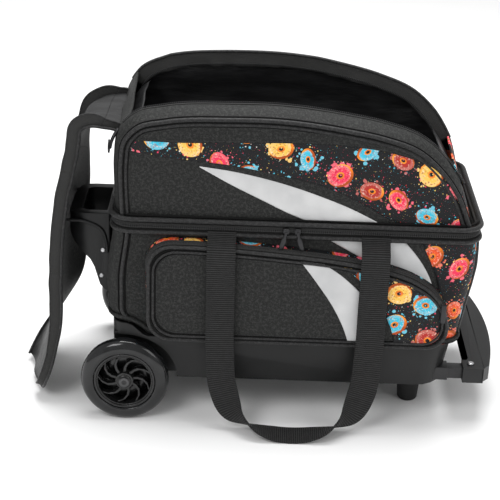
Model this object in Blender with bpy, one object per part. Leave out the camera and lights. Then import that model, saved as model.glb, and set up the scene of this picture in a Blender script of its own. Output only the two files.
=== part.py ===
"""A two-ball roller bowling bag, modelled in Blender as separate sub-parts on their joints.

A moulded tray on two wheels and two feet carries a soft lower body for two balls, a telescoping pull
handle at the right end and a moulded grab handle at the wheel end. The shoe compartment above tips back
on a fabric hinge along the rear of the waist, and its long lid hangs open over the wheel end.

Lengths are in millimetres inside the helpers and become metres when a mesh is made. The bag's own frame
has X along its length (wheel end at -X), Y towards the rear, Z up from the floor. BAG_SHIFT moves that
frame so that the whole object's bounding box is centred on the origin.
"""

import math

import bmesh
import bpy
from mathutils import Vector

MM = 0.001
BAG_SHIFT = (37.7, 0.0, 0.0)  # the lid hangs further out at -X than the grip reaches at +X
GAP = 0.3  # clearance between neighbouring pieces

# Wheels and axle
WHEEL_RADIUS = 63.5
WHEEL_X = -232.0
WHEEL_Y = 142.0
WHEEL_HALF_WIDTH = 13.0
AXLE_RADIUS = 4.0
SPOKES = 9

# Tray
TRAY_LEFT, TRAY_RIGHT, TRAY_RIGHT_LOW = -250.0, 240.0, 228.0
TRAY_HALF_DEPTH, TRAY_HALF_DEPTH_LOW = 138.0, 134.0
TRAY_BOTTOM, TRAY_TOP, TRAY_TOP_WHEELS = 64.0, 130.0, 150.0
TRAY_WALL, TRAY_FLOOR = 4.0, 3.2
WELL_HALF_LENGTH, WELL_HEIGHT, WELL_INNER_Y = 75.0, 68.0, 118.0
RIM_RISE_START, RIM_RISE_LENGTH = -199.0, 30.0
FOOT_X, FOOT_Y = 188.0, 58.0

# Pull handle
TUBE_Y, TUBE_Z = 113.0, 78.0
TUBE_WIDTH, TUBE_HEIGHT = 18.0, 16.0
GUIDE_LEFT, GUIDE_RIGHT = -150.0, 236.0
GRIP_LOW, GRIP_HIGH = 66.0, 89.5
GRIP_INNER, GRIP_SEAM, GRIP_BOW, GRIP_CORNER = 268.5, 288.0, 310.0, 294.0
SOCKET_LEFT, SOCKET_INNER_Y, SOCKET_OUTER_Y = 258.0, 101.0, 127.0

# Soft lower body
PANEL = 4.0  # thickness of a padded panel
BODY_HALF_DEPTH = 129.0
BODY_TOP = 290.8
PANEL_LEFT = -233.0
BAND_LOW, BAND_SPLIT, BAND_HIGH = 291.4, 300.3, 311.2
BAND_LEFT, BAND_RIGHT, BAND_HALF_DEPTH, BAND_WIDTH = -252.0, 264.0, 134.0, 6.0

# Front pocket and webbing
POCKET_FACE_Y = -152.0
WEB_WIDTH, WEB_THICK = 40.0, 3.0
WEB_X = (-97.0, 117.0)
FRONT_WEB_Y, FRONT_WEB_Z = -158.5, 270.0
REAR_WEB_Y, REAR_WEB_Z = 139.5, 292.0

# Upper bag: the shoe compartment's end-on outline, left to right, over its top
ARCH = ((-236, 312), (-238, 352), (-238, 390), (-233, 421), (-215, 441), (-178, 451), (-91, 457),
        (-21, 457), (73, 446), (120, 437), (168, 420), (200, 393), (226, 358), (246, 312))
UPPER_HALF_DEPTH = 127.0
RIM_Y = 95.0
FRONT_RIM_RISE, REAR_RIM_RISE = 12.0, 26.0
UPPER_HINGE_Y = 134.6

# Lid: four stiffened lengths in a chain, hanging open
LID_HALF_WIDTH, LID_THICK = 93.0, 5.0
LID_ROOT = (-243.0, 425.0)
LID_LENGTHS = (59.2, 158.0, 158.0, 122.0)
LID_OPEN_DEG = (168.3, 259.0, 266.5, 249.7)
LID_END_GAP = 3.4

# Grab handle
GRAB_HALF_WIDTH, GRAB_ARM = 58.0, 14.0
GRAB_OUTER, GRAB_FLANGE = -322.0, -260.6
GRAB_TOP = ((-322, 277), (-314, 284), (-260.6, 284))
GRAB_UNDERSIDE = ((-322, 248), (-314, 236), (-302, 224), (-290, 212), (-284, 200), (-280, 186), (-276, 172),
                  (-270, 164), (-260.6, 160))


def clear_scene():
    for obj in list(bpy.data.objects):
        bpy.data.objects.remove(obj, do_unlink=True)


def make_material(name, colour, roughness, metallic=0.0):
    made = bpy.data.materials.new(name)
    made.use_nodes = True
    shader = made.node_tree.nodes["Principled BSDF"]
    shader.inputs["Base Color"].default_value = (*colour, 1.0)
    shader.inputs["Roughness"].default_value = roughness
    shader.inputs["Metallic"].default_value = metallic
    return made


def make_materials():
    return {
        "tray_plastic": make_material("tray_plastic", (0.035, 0.035, 0.037), 0.62),
        "handle_plastic": make_material("handle_plastic", (0.03, 0.03, 0.032), 0.5),
        "urethane": make_material("urethane", (0.07, 0.075, 0.08), 0.12),
        "hub_plastic": make_material("hub_plastic", (0.012, 0.012, 0.013), 0.3),
        "steel": make_material("steel", (0.62, 0.61, 0.6), 0.32, 1.0),
        "black_tube": make_material("black_tube", (0.02, 0.02, 0.022), 0.3),
        "rubber": make_material("rubber", (0.025, 0.025, 0.025), 0.8),
        "body_fabric": make_material("body_fabric", (0.03, 0.03, 0.03), 0.85),
        "webbing": make_material("webbing", (0.02, 0.02, 0.02), 0.75),
        "foam": make_material("foam", (0.05, 0.05, 0.052), 0.95),
        "lining": make_material("lining", (0.025, 0.027, 0.03), 0.45),
        "zip_metal": make_material("zip_metal", (0.03, 0.03, 0.03), 0.35),
    }


class Body:
    """A rigid group of pieces: an empty on its joint's axis, which its pieces are parented to."""

    def __init__(self, name, pivot, parent):
        self.pivot = Vector(pivot) * MM
        self.empty = bpy.data.objects.new(name, None)
        bpy.context.scene.collection.objects.link(self.empty)
        if parent is not None:
            self.empty.parent = parent.empty
            self.empty.location = self.pivot - parent.pivot
        else:
            self.empty.location = self.pivot + Vector(BAG_SHIFT) * MM

    def add(self, name, mesh, material):
        """Makes a visible piece from a mesh given in the bag's frame."""
        obj = bpy.data.objects.new(name, mesh)
        bpy.context.scene.collection.objects.link(obj)
        obj.parent = self.empty
        obj.location = -self.pivot
        mesh.materials.clear()
        mesh.materials.append(material)
        mesh.shade_smooth()
        mesh.set_sharp_from_angle(angle=math.radians(35))
        return obj

    def cutter(self, name, mesh):
        """Makes a hidden shape for a Boolean."""
        obj = bpy.data.objects.new(name, mesh)
        bpy.context.scene.collection.objects.link(obj)
        obj.parent = self.empty
        obj.location = -self.pivot
        obj.hide_render = True
        obj.display_type = "WIRE"
        return obj


def combine(target, other, operation):
    modifier = target.modifiers.new(f"{operation.lower()}_{other.name}", "BOOLEAN")
    modifier.operation = operation
    modifier.object = other


def loft(loops, ring=False):
    """A closed solid through loops of equally many points, capped at both ends unless it is a ring."""
    shape = bmesh.new()
    rows = [[shape.verts.new(Vector(point) * MM) for point in loop] for loop in loops]
    count = len(rows[0])
    pairs = list(zip(rows, rows[1:]))
    if ring:
        pairs.append((rows[-1], rows[0]))
    for low, high in pairs:
        for i in range(count):
            j = (i + 1) % count
            shape.faces.new((low[i], low[j], high[j], high[i]))
    if not ring:
        shape.faces.new(rows[0][::-1])
        shape.faces.new(rows[-1])
    bmesh.ops.triangulate(shape, faces=shape.faces[:])
    bmesh.ops.recalc_face_normals(shape, faces=shape.faces[:])
    if shape.calc_volume(signed=True) < 0:
        bmesh.ops.reverse_faces(shape, faces=shape.faces[:])
    mesh = bpy.data.meshes.new("loft")
    shape.to_mesh(mesh)
    shape.free()
    return mesh


def side_prism(outline, y_low, y_high):
    """An X-Z outline carried along Y."""
    return loft([[(x, y, z) for x, z in outline] for y in (y_low, y_high)])


def plan_prism(outline, z_low, z_high):
    """An X-Y outline carried along Z."""
    return loft([[(x, y, z) for x, y in outline] for z in (z_low, z_high)])


def block(x_low, x_high, y_low, y_high, z_low, z_high):
    return plan_prism(((x_low, y_low), (x_high, y_low), (x_high, y_high), (x_low, y_high)), z_low, z_high)


def arc(centre, radius, start_deg, end_deg, steps):
    """Points along an arc, both ends included."""
    angles = [math.radians(start_deg + (end_deg - start_deg) * i / steps) for i in range(steps + 1)]
    return [(centre[0] + radius * math.cos(a), centre[1] + radius * math.sin(a)) for a in angles]


def rounded_rect(x_low, x_high, y_half, r_left, r_right, steps=5, stops=()):
    """A plan outline, symmetric in Y, with its own corner radius at each end and extra points at stops."""
    return (
        arc((x_high - r_right, -y_half + r_right), r_right, -90, 0, steps)
        + arc((x_high - r_right, y_half - r_right), r_right, 0, 90, steps)
        + [(x, y_half) for x in reversed(stops)]
        + arc((x_low + r_left, y_half - r_left), r_left, 90, 180, steps)
        + arc((x_low + r_left, -y_half + r_left), r_left, 180, 270, steps)
        + [(x, -y_half) for x in stops]
    )


def turned(profile, centre, steps):
    """A ring: a closed (radius, y) profile turned about the Y line through centre (x, y, z)."""
    loops = []
    for i in range(steps):
        angle = 2 * math.pi * i / steps
        sine, cosine = math.sin(angle), -math.cos(angle)
        loops.append([(centre[0] + r * sine, centre[1] + y, centre[2] + r * cosine) for r, y in profile])
    return loft(loops, ring=True)


def rod(radius, centre, y_low, y_high, steps=16):
    """A solid round bar along Y."""
    outline = [(centre[0] + radius * math.cos(2 * math.pi * i / steps),
                centre[1] + radius * math.sin(2 * math.pi * i / steps)) for i in range(steps)]
    return side_prism(outline, y_low, y_high)


def post(radii, centre, heights, steps=20):
    """A round upright solid with a radius at each height."""
    return loft([[(centre[0] + r * math.cos(2 * math.pi * i / steps),
                   centre[1] + r * math.sin(2 * math.pi * i / steps), z) for i in range(steps)]
                 for r, z in zip(radii, heights)])


def square_tube(y, z, width, height, wall, x_low, x_high):
    """A square tube along X, open at both ends."""
    loops = []
    for x, inset in ((x_low, 0), (x_high, 0), (x_high, wall), (x_low, wall)):
        half_y, half_z = width / 2 - inset, height / 2 - inset
        loops.append([(x, y - half_y, z - half_z), (x, y + half_y, z - half_z),
                      (x, y + half_y, z + half_z), (x, y - half_y, z + half_z)])
    return loft(loops, ring=True)


def smooth_step(t):
    t = min(max(t, 0.0), 1.0)
    return t * t * (3 - 2 * t)


def curve_through(points, per_span):
    """A Catmull-Rom curve through the points, per_span samples to each span."""
    ends = [points[0], *points, points[-1]]
    samples = []
    for a, b, c, d in zip(ends, ends[1:], ends[2:], ends[3:]):
        for k in range(per_span):
            t = k / per_span
            samples.append(tuple(
                0.5 * (2 * q + (r - p) * t + (2 * p - 5 * q + 4 * r - s) * t * t + (3 * q - p - 3 * r + s) * t**3)
                for p, q, r, s in zip(a, b, c, d)))
    samples.append(tuple(map(float, points[-1])))
    return samples


def offset_path(path, distance):
    """The path moved to its left by distance: outwards, for a path that runs left to right over the top."""
    moved = []
    for i, (x, z) in enumerate(path):
        before, after = path[max(i - 1, 0)], path[min(i + 1, len(path) - 1)]
        dx, dz = after[0] - before[0], after[1] - before[1]
        length = math.hypot(dx, dz)
        moved.append((x - dz / length * distance, z + dx / length * distance))
    return moved


# --- Chassis -----------------------------------------------------------------------------------------


def tray_top(x):
    """The rim's height: level, and higher over the wheels."""
    return TRAY_TOP + (TRAY_TOP_WHEELS - TRAY_TOP) * smooth_step((RIM_RISE_START - x) / RIM_RISE_LENGTH)


def well_arch(grow, start_deg, end_deg, steps):
    """Points along the wheel well's outline, an ellipse about the wheel's centre grown outwards."""
    wide, high = WELL_HALF_LENGTH + grow, WELL_HEIGHT + grow
    return [(WHEEL_X + wide * x, WHEEL_RADIUS + high * z) for x, z in arc((0, 0), 1, start_deg, end_deg, steps)]


def make_tray(chassis, finish):
    wall, rise = TRAY_WALL, [RIM_RISE_START - RIM_RISE_LENGTH * i / 4 for i in (3, 2, 1, 0)]
    low = rounded_rect(TRAY_LEFT, TRAY_RIGHT_LOW, TRAY_HALF_DEPTH_LOW, 20, 40, stops=rise)
    high = rounded_rect(TRAY_LEFT, TRAY_RIGHT, TRAY_HALF_DEPTH, 20, 44, stops=rise)
    high_in = rounded_rect(TRAY_LEFT + wall, TRAY_RIGHT - wall, TRAY_HALF_DEPTH - wall, 16, 40, stops=rise)
    low_in = rounded_rect(TRAY_LEFT + wall, TRAY_RIGHT_LOW - wall, TRAY_HALF_DEPTH_LOW - wall, 16, 36, stops=rise)
    tray = chassis.add("base_tray", loft([
        [(x, y, TRAY_BOTTOM) for x, y in low],
        [(x, y, tray_top(x)) for x, y in high],
        [(x, y, tray_top(x)) for x, y in high_in],
        [(x, y, TRAY_BOTTOM + TRAY_FLOOR) for x, y in low_in],
    ]), finish)
    left_limit = TRAY_LEFT + 1.5
    end_deg = math.degrees(math.acos((left_limit - WHEEL_X) / (WELL_HALF_LENGTH + wall)))
    arch_block = [*well_arch(wall, 1, end_deg, 12), (left_limit, TRAY_BOTTOM + 0.5)]
    for side in (-1, 1):
        label = "front" if side < 0 else "rear"
        inner, outer = sorted((side * (WELL_INNER_Y - TRAY_WALL), side * (TRAY_HALF_DEPTH_LOW - 1)))
        combine(tray, chassis.cutter(f"well_block_{label}", side_prism(arch_block, inner, outer)), "UNION")
        inner, outer = sorted((side * WELL_INNER_Y, side * (TRAY_HALF_DEPTH + 12)))
        well = side_prism(well_arch(0, 0, 351, 39), inner, outer)
        combine(tray, chassis.cutter(f"well_cutter_{label}", well), "DIFFERENCE")
        exit_hole = block(190, 260, side * TUBE_Y - 11.6, side * TUBE_Y + 11.6, TUBE_Z - 10.5, TUBE_Z + 10.5)
        combine(tray, chassis.cutter(f"tube_exit_{label}", exit_hole), "DIFFERENCE")
    ridge = block(WHEEL_X - 10, WHEEL_X + 10, -WELL_INNER_Y + 1, WELL_INNER_Y - 1, TRAY_BOTTOM + 1, 74)
    combine(tray, chassis.cutter("axle_ridge", ridge), "UNION")
    channel = block(WHEEL_X - 6, WHEEL_X + 6, -WELL_INNER_Y - 2, WELL_INNER_Y + 2, TRAY_BOTTOM - 5, 70)
    combine(tray, chassis.cutter("axle_channel", channel), "DIFFERENCE")


def make_running_gear(chassis, finishes):
    """The axle with its end nuts, its clips, and the two feet."""
    nut, tip, thin = 7.5, WHEEL_Y + 15.5, AXLE_RADIUS
    profile = ((0.5, -tip), (nut, -tip), (nut, -tip + 6), (thin, -tip + 6), (thin, tip - 6), (nut, tip - 6),
               (nut, tip), (0.5, tip))
    steps = 18
    loops = [[(WHEEL_X + r * math.cos(2 * math.pi * i / steps), y,
               WHEEL_RADIUS + r * math.sin(2 * math.pi * i / steps)) for i in range(steps)] for r, y in profile]
    chassis.add("axle", loft(loops), finishes["steel"])
    notch = arc((WHEEL_X, WHEEL_RADIUS), AXLE_RADIUS + 0.4, 0, -180, 8)
    top = TRAY_BOTTOM - GAP
    clip = [(WHEEL_X + 12, 54), (WHEEL_X + 12, top), (notch[0][0], top), *notch[1:-1], (notch[-1][0], top),
            (WHEEL_X - 12, top), (WHEEL_X - 12, 54)]
    for label, low, high in (("front", -112, -92), ("rear", 92, 112)):
        chassis.add(f"axle_clip_{label}", side_prism(clip, low, high), finishes["tray_plastic"])
    for label, y in (("front", -FOOT_Y), ("rear", FOOT_Y)):
        foot = post((13, 15, 18, 24, 24), (FOOT_X, y), (0, 3, 40, 60, TRAY_BOTTOM - GAP))
        chassis.add(f"foot_{label}", foot, finishes["rubber"])


def make_guides(chassis, finish):
    for label, side in (("front", -1), ("rear", 1)):
        tube = square_tube(side * TUBE_Y, TUBE_Z, TUBE_WIDTH + 4, TUBE_HEIGHT + 4, 1.6, GUIDE_LEFT, GUIDE_RIGHT)
        chassis.add(f"guide_tube_{label}", tube, finish)


def make_ball_bay(chassis, finish):
    """A foam ring under each ball and a padded wall between them."""
    floor = TRAY_BOTTOM + TRAY_FLOOR + GAP
    for label, x in (("left", -122), ("right", 116)):
        steps = 24
        profile = ((58, floor), (62, 92), (78, 92), (84, floor))
        loops = [[(x + r * math.cos(2 * math.pi * i / steps), r * math.sin(2 * math.pi * i / steps), z)
                  for r, z in profile] for i in range(steps)]
        chassis.add(f"ball_cup_{label}", loft(loops, ring=True), finish)
    wall = block(-5, 5, -121, 121, TUBE_Z + 10 + 0.6, 286)
    chassis.add("ball_divider", wall, finish)


def body_left(z):
    """The wheel end's outer face: it bulges just above the tray and draws in to the waist."""
    return -259 + 16 * (1 - smooth_step((z - 140) / 30)) + 8 * smooth_step((z - 215) / 80)


def body_right(z):
    return 244 + 16 * smooth_step((z - 131) / 130)


def panel_right(z):
    """The front and rear panels' right edge, which leans out towards the waist."""
    return 216 + 24 * (z - 131) / 160


def wrapped_end(x_end, x_seam, direction, z):
    """A plan section of an end panel: flat across, rounded at its corners, PANEL thick."""
    radius = 24
    paths = []
    for inset in (0, PANEL):
        r = radius - inset
        half = BODY_HALF_DEPTH - radius
        corner_x = x_end - direction * radius
        angles = [90 * i / 5 for i in range(6)]
        front = [(corner_x + direction * r * math.sin(math.radians(a)), -half - r * math.cos(math.radians(a)))
                 for a in angles]
        rear = [(x, -y) for x, y in reversed(front)]
        ends = (x_seam, BODY_HALF_DEPTH - inset)
        paths.append([(ends[0], -ends[1]), *front, *rear, ends])
    return [(x, y, z) for x, y in [*paths[0], *reversed(paths[1])]]


def make_lower_body(chassis, finish):
    bottom = [(x, tray_top(x) + 1.0) for x in (RIM_RISE_START - RIM_RISE_LENGTH * i / 4 for i in range(4, -1, -1))]
    outline = [(PANEL_LEFT, BODY_TOP), (PANEL_LEFT, TRAY_TOP_WHEELS + 1), *bottom,
               (190, TRAY_TOP + 1), *arc((panel_right(150) - 20, 151), 20, -70, -10, 3),
               (panel_right(160), 160), (panel_right(BODY_TOP), BODY_TOP)]
    chassis.add("lower_front_panel", side_prism(outline, -BODY_HALF_DEPTH, -BODY_HALF_DEPTH + PANEL), finish)
    chassis.add("lower_rear_panel", side_prism(outline, BODY_HALF_DEPTH - PANEL, BODY_HALF_DEPTH), finish)
    heights = (TRAY_TOP_WHEELS + 1, 158, 170, 215, 255, BODY_TOP)
    left = [wrapped_end(body_left(z), PANEL_LEFT - 0.4, -1, z) for z in heights]
    chassis.add("left_end_panel", loft(left), finish)
    heights = (TRAY_TOP + 1, 160, 200, 245, BODY_TOP)
    right = [wrapped_end(body_right(z), panel_right(z) + 1.2, 1, z) for z in heights]
    chassis.add("right_end_panel", loft(right), finish)


def waist_band(z_low, z_high):
    outer = rounded_rect(BAND_LEFT, BAND_RIGHT, BAND_HALF_DEPTH, 30, 30)
    inner = rounded_rect(BAND_LEFT + BAND_WIDTH, BAND_RIGHT - BAND_WIDTH, BAND_HALF_DEPTH - BAND_WIDTH, 24, 24)
    loops = [[(*o, z_low), (*o, z_high), (*i, z_high), (*i, z_low)] for o, i in zip(outer, inner)]
    return loft(loops, ring=True)


def pocket_outline(inset):
    """The front pocket seen from the front, its top falling to the right, drawn in by inset."""
    left, right, low = -198 + inset, 224 - inset, 133 + inset
    top = [(-166, 277), (-97, 275), (-10, 269), (70, 261), (130, 250), (175, 235), (205, 214), (222, 184)]
    top = [(min(x, right), z - inset) for x, z in top]
    return [*arc((left + 26, low + 26), 26, 270, 180, 5), *arc((left + 28, 249 - inset), 28, 180, 100, 5),
            *top, (right, 165), *arc((right - 28, low + 28), 28, 0, -90, 5)]


def make_pocket(chassis, finish):
    chassis.add("pocket_face", side_prism(pocket_outline(0), POCKET_FACE_Y, POCKET_FACE_Y + 3), finish)
    back, front = -BODY_HALF_DEPTH - GAP, POCKET_FACE_Y + 3 + GAP
    outer, inner = pocket_outline(0.0), pocket_outline(3.0)
    loops = [[(a[0], back, a[1]), (a[0], front, a[1]), (b[0], front, b[1]), (b[0], back, b[1])]
             for a, b in zip(outer, inner)]
    chassis.add("pocket_gusset", loft(loops, ring=True), finish)


def height_at(profile, x):
    """The height of an X-Z profile at x, straight between its points."""
    for (x_low, z_low), (x_high, z_high) in zip(profile, profile[1:]):
        if x <= x_high:
            share = max(x - x_low, 0) / (x_high - x_low)
            return z_low + (z_high - z_low) * share
    return profile[-1][1]


def make_grab_handle(chassis, finishes):
    """A moulded loop: two deep cheeks joined by a grip bar, on a flange against the wheel end."""
    stops = [x for x, _ in GRAB_UNDERSIDE[3:-1]]
    outer = rounded_rect(GRAB_OUTER, GRAB_FLANGE, GRAB_HALF_WIDTH, 30, 2, steps=6, stops=stops)
    inner = rounded_rect(GRAB_OUTER + 20, GRAB_FLANGE - 5, GRAB_HALF_WIDTH - GRAB_ARM, 10, 2, steps=6, stops=stops)
    loops = []
    for (x, y), (x_in, y_in) in zip(outer, inner):
        loops.append([(x, y, height_at(GRAB_UNDERSIDE, x)), (x, y, height_at(GRAB_TOP, x)),
                      (x_in, y_in, height_at(GRAB_TOP, x_in)), (x_in, y_in, height_at(GRAB_UNDERSIDE, x_in))])
    handle = chassis.add("grab_handle", loft(loops, ring=True), finishes["handle_plastic"])
    for side, label in ((-1, "front"), (1, "rear")):
        for place, x, z in (("upper", -271, 227), ("lower", -273.5, 186)):
            face = side * GRAB_HALF_WIDTH
            bore = rod(1.9, (x, z), *sorted((face - side * 7, face + side * 3)), 10)
            combine(handle, chassis.cutter(f"screw_bore_{label}_{place}", bore), "DIFFERENCE")
            screw = [(0.4, 1.8), (3.0, 1.6), (4.0, GAP), (1.5, GAP), (1.5, -5.0)]
            steps = 12
            loops = [[(x + r * math.cos(2 * math.pi * i / steps), face + side * out,
                       z + r * math.sin(2 * math.pi * i / steps)) for i in range(steps)] for r, out in screw]
            chassis.add(f"handle_screw_{label}_{place}", loft(loops), finishes["steel"])


# --- Webbing -----------------------------------------------------------------------------------------


def band_along(points, widths):
    """Flat webbing through centre points, with its width direction given at each point."""
    loops = []
    for i, (centre, across) in enumerate(zip(points, widths)):
        before = Vector(points[max(i - 1, 0)])
        along = (Vector(points[min(i + 1, len(points) - 1)]) - before).normalized()
        across = Vector(across)
        across = (across - along * across.dot(along)).normalized() * WEB_WIDTH / 2
        normal = along.cross(across).normalized() * WEB_THICK / 2
        middle = Vector(centre)
        loops.append([tuple(middle - across - normal), tuple(middle + across - normal),
                      tuple(middle + across + normal), tuple(middle - across + normal)])
    return loft(loops)


def carry_loop(side, top_y, top_z, lean):
    """A carrying loop: a leg at each end, twisting until its middle lies flat on the floor."""
    half = [(0, 0, 0), (0.5, 0.1, -70), (2, 0.35, -150), (8, 0.6, -205)]
    left, right = WEB_X
    points, widths = [], []
    low_y = side * 185.0
    for x, share, drop in half:
        points.append((left + x, top_y + (low_y - top_y) * share * lean, top_z + drop * top_z / 270))
        widths.append((1, 0, 0))
    middle = [((left + 24, low_y - side * 9, 30), (0.85, side * 0.5, 0.2)),
              ((left + 42, low_y - side * 4, 18), (0.6, side * 0.8, 0.2)),
              ((left + 64, low_y, 9), (0.25, side * 1.0, 0.1)),
              ((left + 86, low_y, 3.5), (0.0, side * 1.0, 0.0))]
    for centre, across in middle:
        points.append(centre)
        widths.append(across)
    mirror_x = (left + right) / 2
    points += [(2 * mirror_x - x, y, z) for x, y, z in reversed(points)]
    widths += [(-x, y, z) for x, y, z in reversed(widths)]
    return band_along(points, widths)


def make_webbing(chassis, carry_front, carry_rear, finish):
    for label, x in zip(("left", "right"), WEB_X):
        path = [(x, -136.2, 297), (x, -137.5, 289), (x, -147, 284), (x, -155.5, 279),
                (x, FRONT_WEB_Y, FRONT_WEB_Z + 0.8)]
        chassis.add(f"strap_tab_{label}", band_along(path, [(1, 0, 0)] * len(path)), finish)
    carry_front.add("carry_strap_front", carry_loop(-1, FRONT_WEB_Y, FRONT_WEB_Z - 0.3, 0.6), finish)
    carry_rear.add("carry_strap_rear", carry_loop(1, REAR_WEB_Y, REAR_WEB_Z, 0.6), finish)


# --- Wheels ------------------------------------------------------------------------------------------


def spoke_bars(centre):
    """Curved spokes as separate closed bars in one mesh, to be united with the hub's rings."""
    shape = bmesh.new()
    inner, outer, half_width, half_depth, sweep = 12.0, 40.5, 1.9, 5.0, math.radians(38)
    for s in range(SPOKES):
        rows = []
        for k in range(5):
            t = k / 4
            radius = inner + (outer - inner) * t
            angle = 2 * math.pi * s / SPOKES + sweep * t * t
            out = Vector((math.sin(angle), 0, math.cos(angle)))
            across = Vector((out.z, 0, -out.x)) * half_width
            middle = Vector(centre) + out * radius
            deep = Vector((0, half_depth, 0))
            corners = (middle - across - deep, middle + across - deep, middle + across + deep, middle - across + deep)
            rows.append([shape.verts.new(corner * MM) for corner in corners])
        for low, high in zip(rows, rows[1:]):
            for i in range(4):
                j = (i + 1) % 4
                shape.faces.new((low[i], low[j], high[j], high[i]))
        shape.faces.new(rows[0][::-1])
        shape.faces.new(rows[-1])
    bmesh.ops.recalc_face_normals(shape, faces=shape.faces[:])
    mesh = bpy.data.meshes.new("spokes")
    shape.to_mesh(mesh)
    shape.free()
    return mesh


def make_wheel(wheel, label, side, finishes):
    centre = (WHEEL_X, side * WHEEL_Y, WHEEL_RADIUS)
    tyre = ((45, -10.5), (48, -12.6), (54, -13), (59, -11.5), (62.3, -7.5), (WHEEL_RADIUS, -2.5),
            (WHEEL_RADIUS, 2.5), (62.3, 7.5), (59, 11.5), (54, 13), (48, 12.6), (45, 10.5))
    wheel.add(f"tyre_{label}", turned(tyre, centre, 36), finishes["urethane"])
    rim = ((38.5, -9.5), (44.5, -9.5), (44.5, 9.5), (38.5, 9.5))
    hub = wheel.add(f"hub_{label}", turned(rim, centre, 36), finishes["hub_plastic"])
    combine(hub, wheel.cutter(f"spokes_{label}", spoke_bars(centre)), "UNION")
    boss = ((9.3, -10.5), (12.8, -10.5), (12.8, 10.5), (9.3, 10.5))
    combine(hub, wheel.cutter(f"boss_{label}", turned(boss, centre, 24)), "UNION")
    bearing = ((AXLE_RADIUS + 0.45, -7), (8.9, -7), (8.9, 7), (AXLE_RADIUS + 0.45, 7))
    wheel.add(f"bearing_{label}", turned(bearing, centre, 24), finishes["steel"])


# --- Pull handle -------------------------------------------------------------------------------------


def grip_bow(y):
    """The grip's outer edge: a shallow bow that rounds off at its corners."""
    t = abs(y) / SOCKET_OUTER_Y
    return GRIP_CORNER + (GRIP_BOW - GRIP_CORNER) * (1 - t * t) - 9 * smooth_step((t - 0.93) / 0.07)


def make_pull_handle(handle, button, finishes):
    for label, side in (("front", -1), ("rear", 1)):
        tube = square_tube(side * TUBE_Y, TUBE_Z, TUBE_WIDTH, TUBE_HEIGHT, 1.4, GUIDE_LEFT + 4, 277)
        handle.add(f"inner_tube_{label}", tube, finishes["black_tube"])
    inner = [(SOCKET_LEFT, -SOCKET_OUTER_Y), (GRIP_SEAM, -SOCKET_OUTER_Y), (GRIP_SEAM, SOCKET_OUTER_Y),
             (SOCKET_LEFT, SOCKET_OUTER_Y), (SOCKET_LEFT, SOCKET_INNER_Y), (GRIP_INNER - 3, SOCKET_INNER_Y),
             (GRIP_INNER, SOCKET_INNER_Y - 6), (GRIP_INNER, -SOCKET_INNER_Y + 6), (GRIP_INNER - 3, -SOCKET_INNER_Y),
             (SOCKET_LEFT, -SOCKET_INNER_Y)]
    shell = handle.add("grip_inner_shell", plan_prism(inner, GRIP_LOW, GRIP_HIGH), finishes["handle_plastic"])
    for label, side in (("front", -1), ("rear", 1)):
        y = side * TUBE_Y
        hole = block(SOCKET_LEFT - 5, 278.5, y - 9.4, y + 9.4, TUBE_Z - 8.4, TUBE_Z + 8.4)
        combine(shell, handle.cutter(f"socket_{label}", hole), "DIFFERENCE")
        bore = post((2.5, 2.5), (270, y), (TUBE_Z + 5, GRIP_HIGH + 5), 10)
        combine(shell, handle.cutter(f"grip_bore_{label}", bore), "DIFFERENCE")
        screw = post((2, 2, 5, 5, 3.5), (270, y), (86.7, GRIP_HIGH + GAP, GRIP_HIGH + GAP, 91.5, 92.6), 12)
        handle.add(f"grip_screw_{label}", screw, finishes["steel"])
    slot = block(GRIP_INNER - 5, GRIP_INNER + 9, -18, 18, 72, 84)
    combine(shell, handle.cutter("button_slot", slot), "DIFFERENCE")
    stations = [SOCKET_OUTER_Y * (i / 10 - 1) for i in range(21)]
    outer = [(GRIP_SEAM + GAP, SOCKET_OUTER_Y), (GRIP_SEAM + GAP, -SOCKET_OUTER_Y)]
    outer += [(grip_bow(y), y) for y in stations]
    handle.add("grip_outer_shell", plan_prism(outer, GRIP_LOW, GRIP_HIGH), finishes["handle_plastic"])
    key = block(GRIP_INNER - 1.8, GRIP_INNER + 4.5, -17.4, 17.4, 72.6, 83.4)
    button.add("release_button", key, finishes["handle_plastic"])


# --- Upper bag ---------------------------------------------------------------------------------------


def make_upper_bag(upper, finishes):
    arch = curve_through(ARCH, 2)
    fabric = finishes["body_fabric"]
    for label, side in (("front", -1), ("rear", 1)):
        inner, outer = sorted((side * (UPPER_HALF_DEPTH - PANEL), side * UPPER_HALF_DEPTH))
        upper.add(f"upper_{label}_panel", side_prism(arch, inner, outer), fabric)
        edge_y, rim_y = side * (UPPER_HALF_DEPTH - PANEL - GAP), side * RIM_Y
        rise = FRONT_RIM_RISE if side < 0 else REAR_RIM_RISE
        under, over = offset_path(arch, -3), offset_path(arch, rise)
        over_in = offset_path(arch, rise - 3)
        loops = [[(a[0], edge_y, a[1]), (b[0], rim_y, b[1]), (c[0], rim_y, c[1]), (d[0], edge_y, d[1])]
                 for a, b, c, d in zip(arch, over, over_in, under)]
        loops = [[(x, y, max(z, 311.8)) for x, y, z in loop] for loop in loops]
        upper.add(f"{label}_zip_strip", loft(loops), finishes["lining"])
    half = RIM_Y - 0.4
    outside, inside = offset_path(arch, FRONT_RIM_RISE), offset_path(arch, FRONT_RIM_RISE - 3)
    count = len(arch)
    for label, keep in (("left", [i for i in range(count // 3) if outside[i][1] < 412]),
                        ("right", [i for i in range(count // 2, count) if outside[i][1] < 384])):
        loops = [[(outside[i][0], -half, outside[i][1]), (outside[i][0], half, outside[i][1]),
                  (inside[i][0], half, inside[i][1]), (inside[i][0], -half, inside[i][1])] for i in keep]
        loops = [[(x, y, max(z, 311.8)) for x, y, z in loop] for loop in loops]
        upper.add(f"upper_{label}_gusset", loft(loops), fabric)
    upper.add("compartment_floor", block(-231, 241, -121.5, 121.5, 312, 315), finishes["lining"])
    upper.add("waist_band_upper", waist_band(BAND_SPLIT + 0.5, BAND_HIGH), finishes["webbing"])


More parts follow.
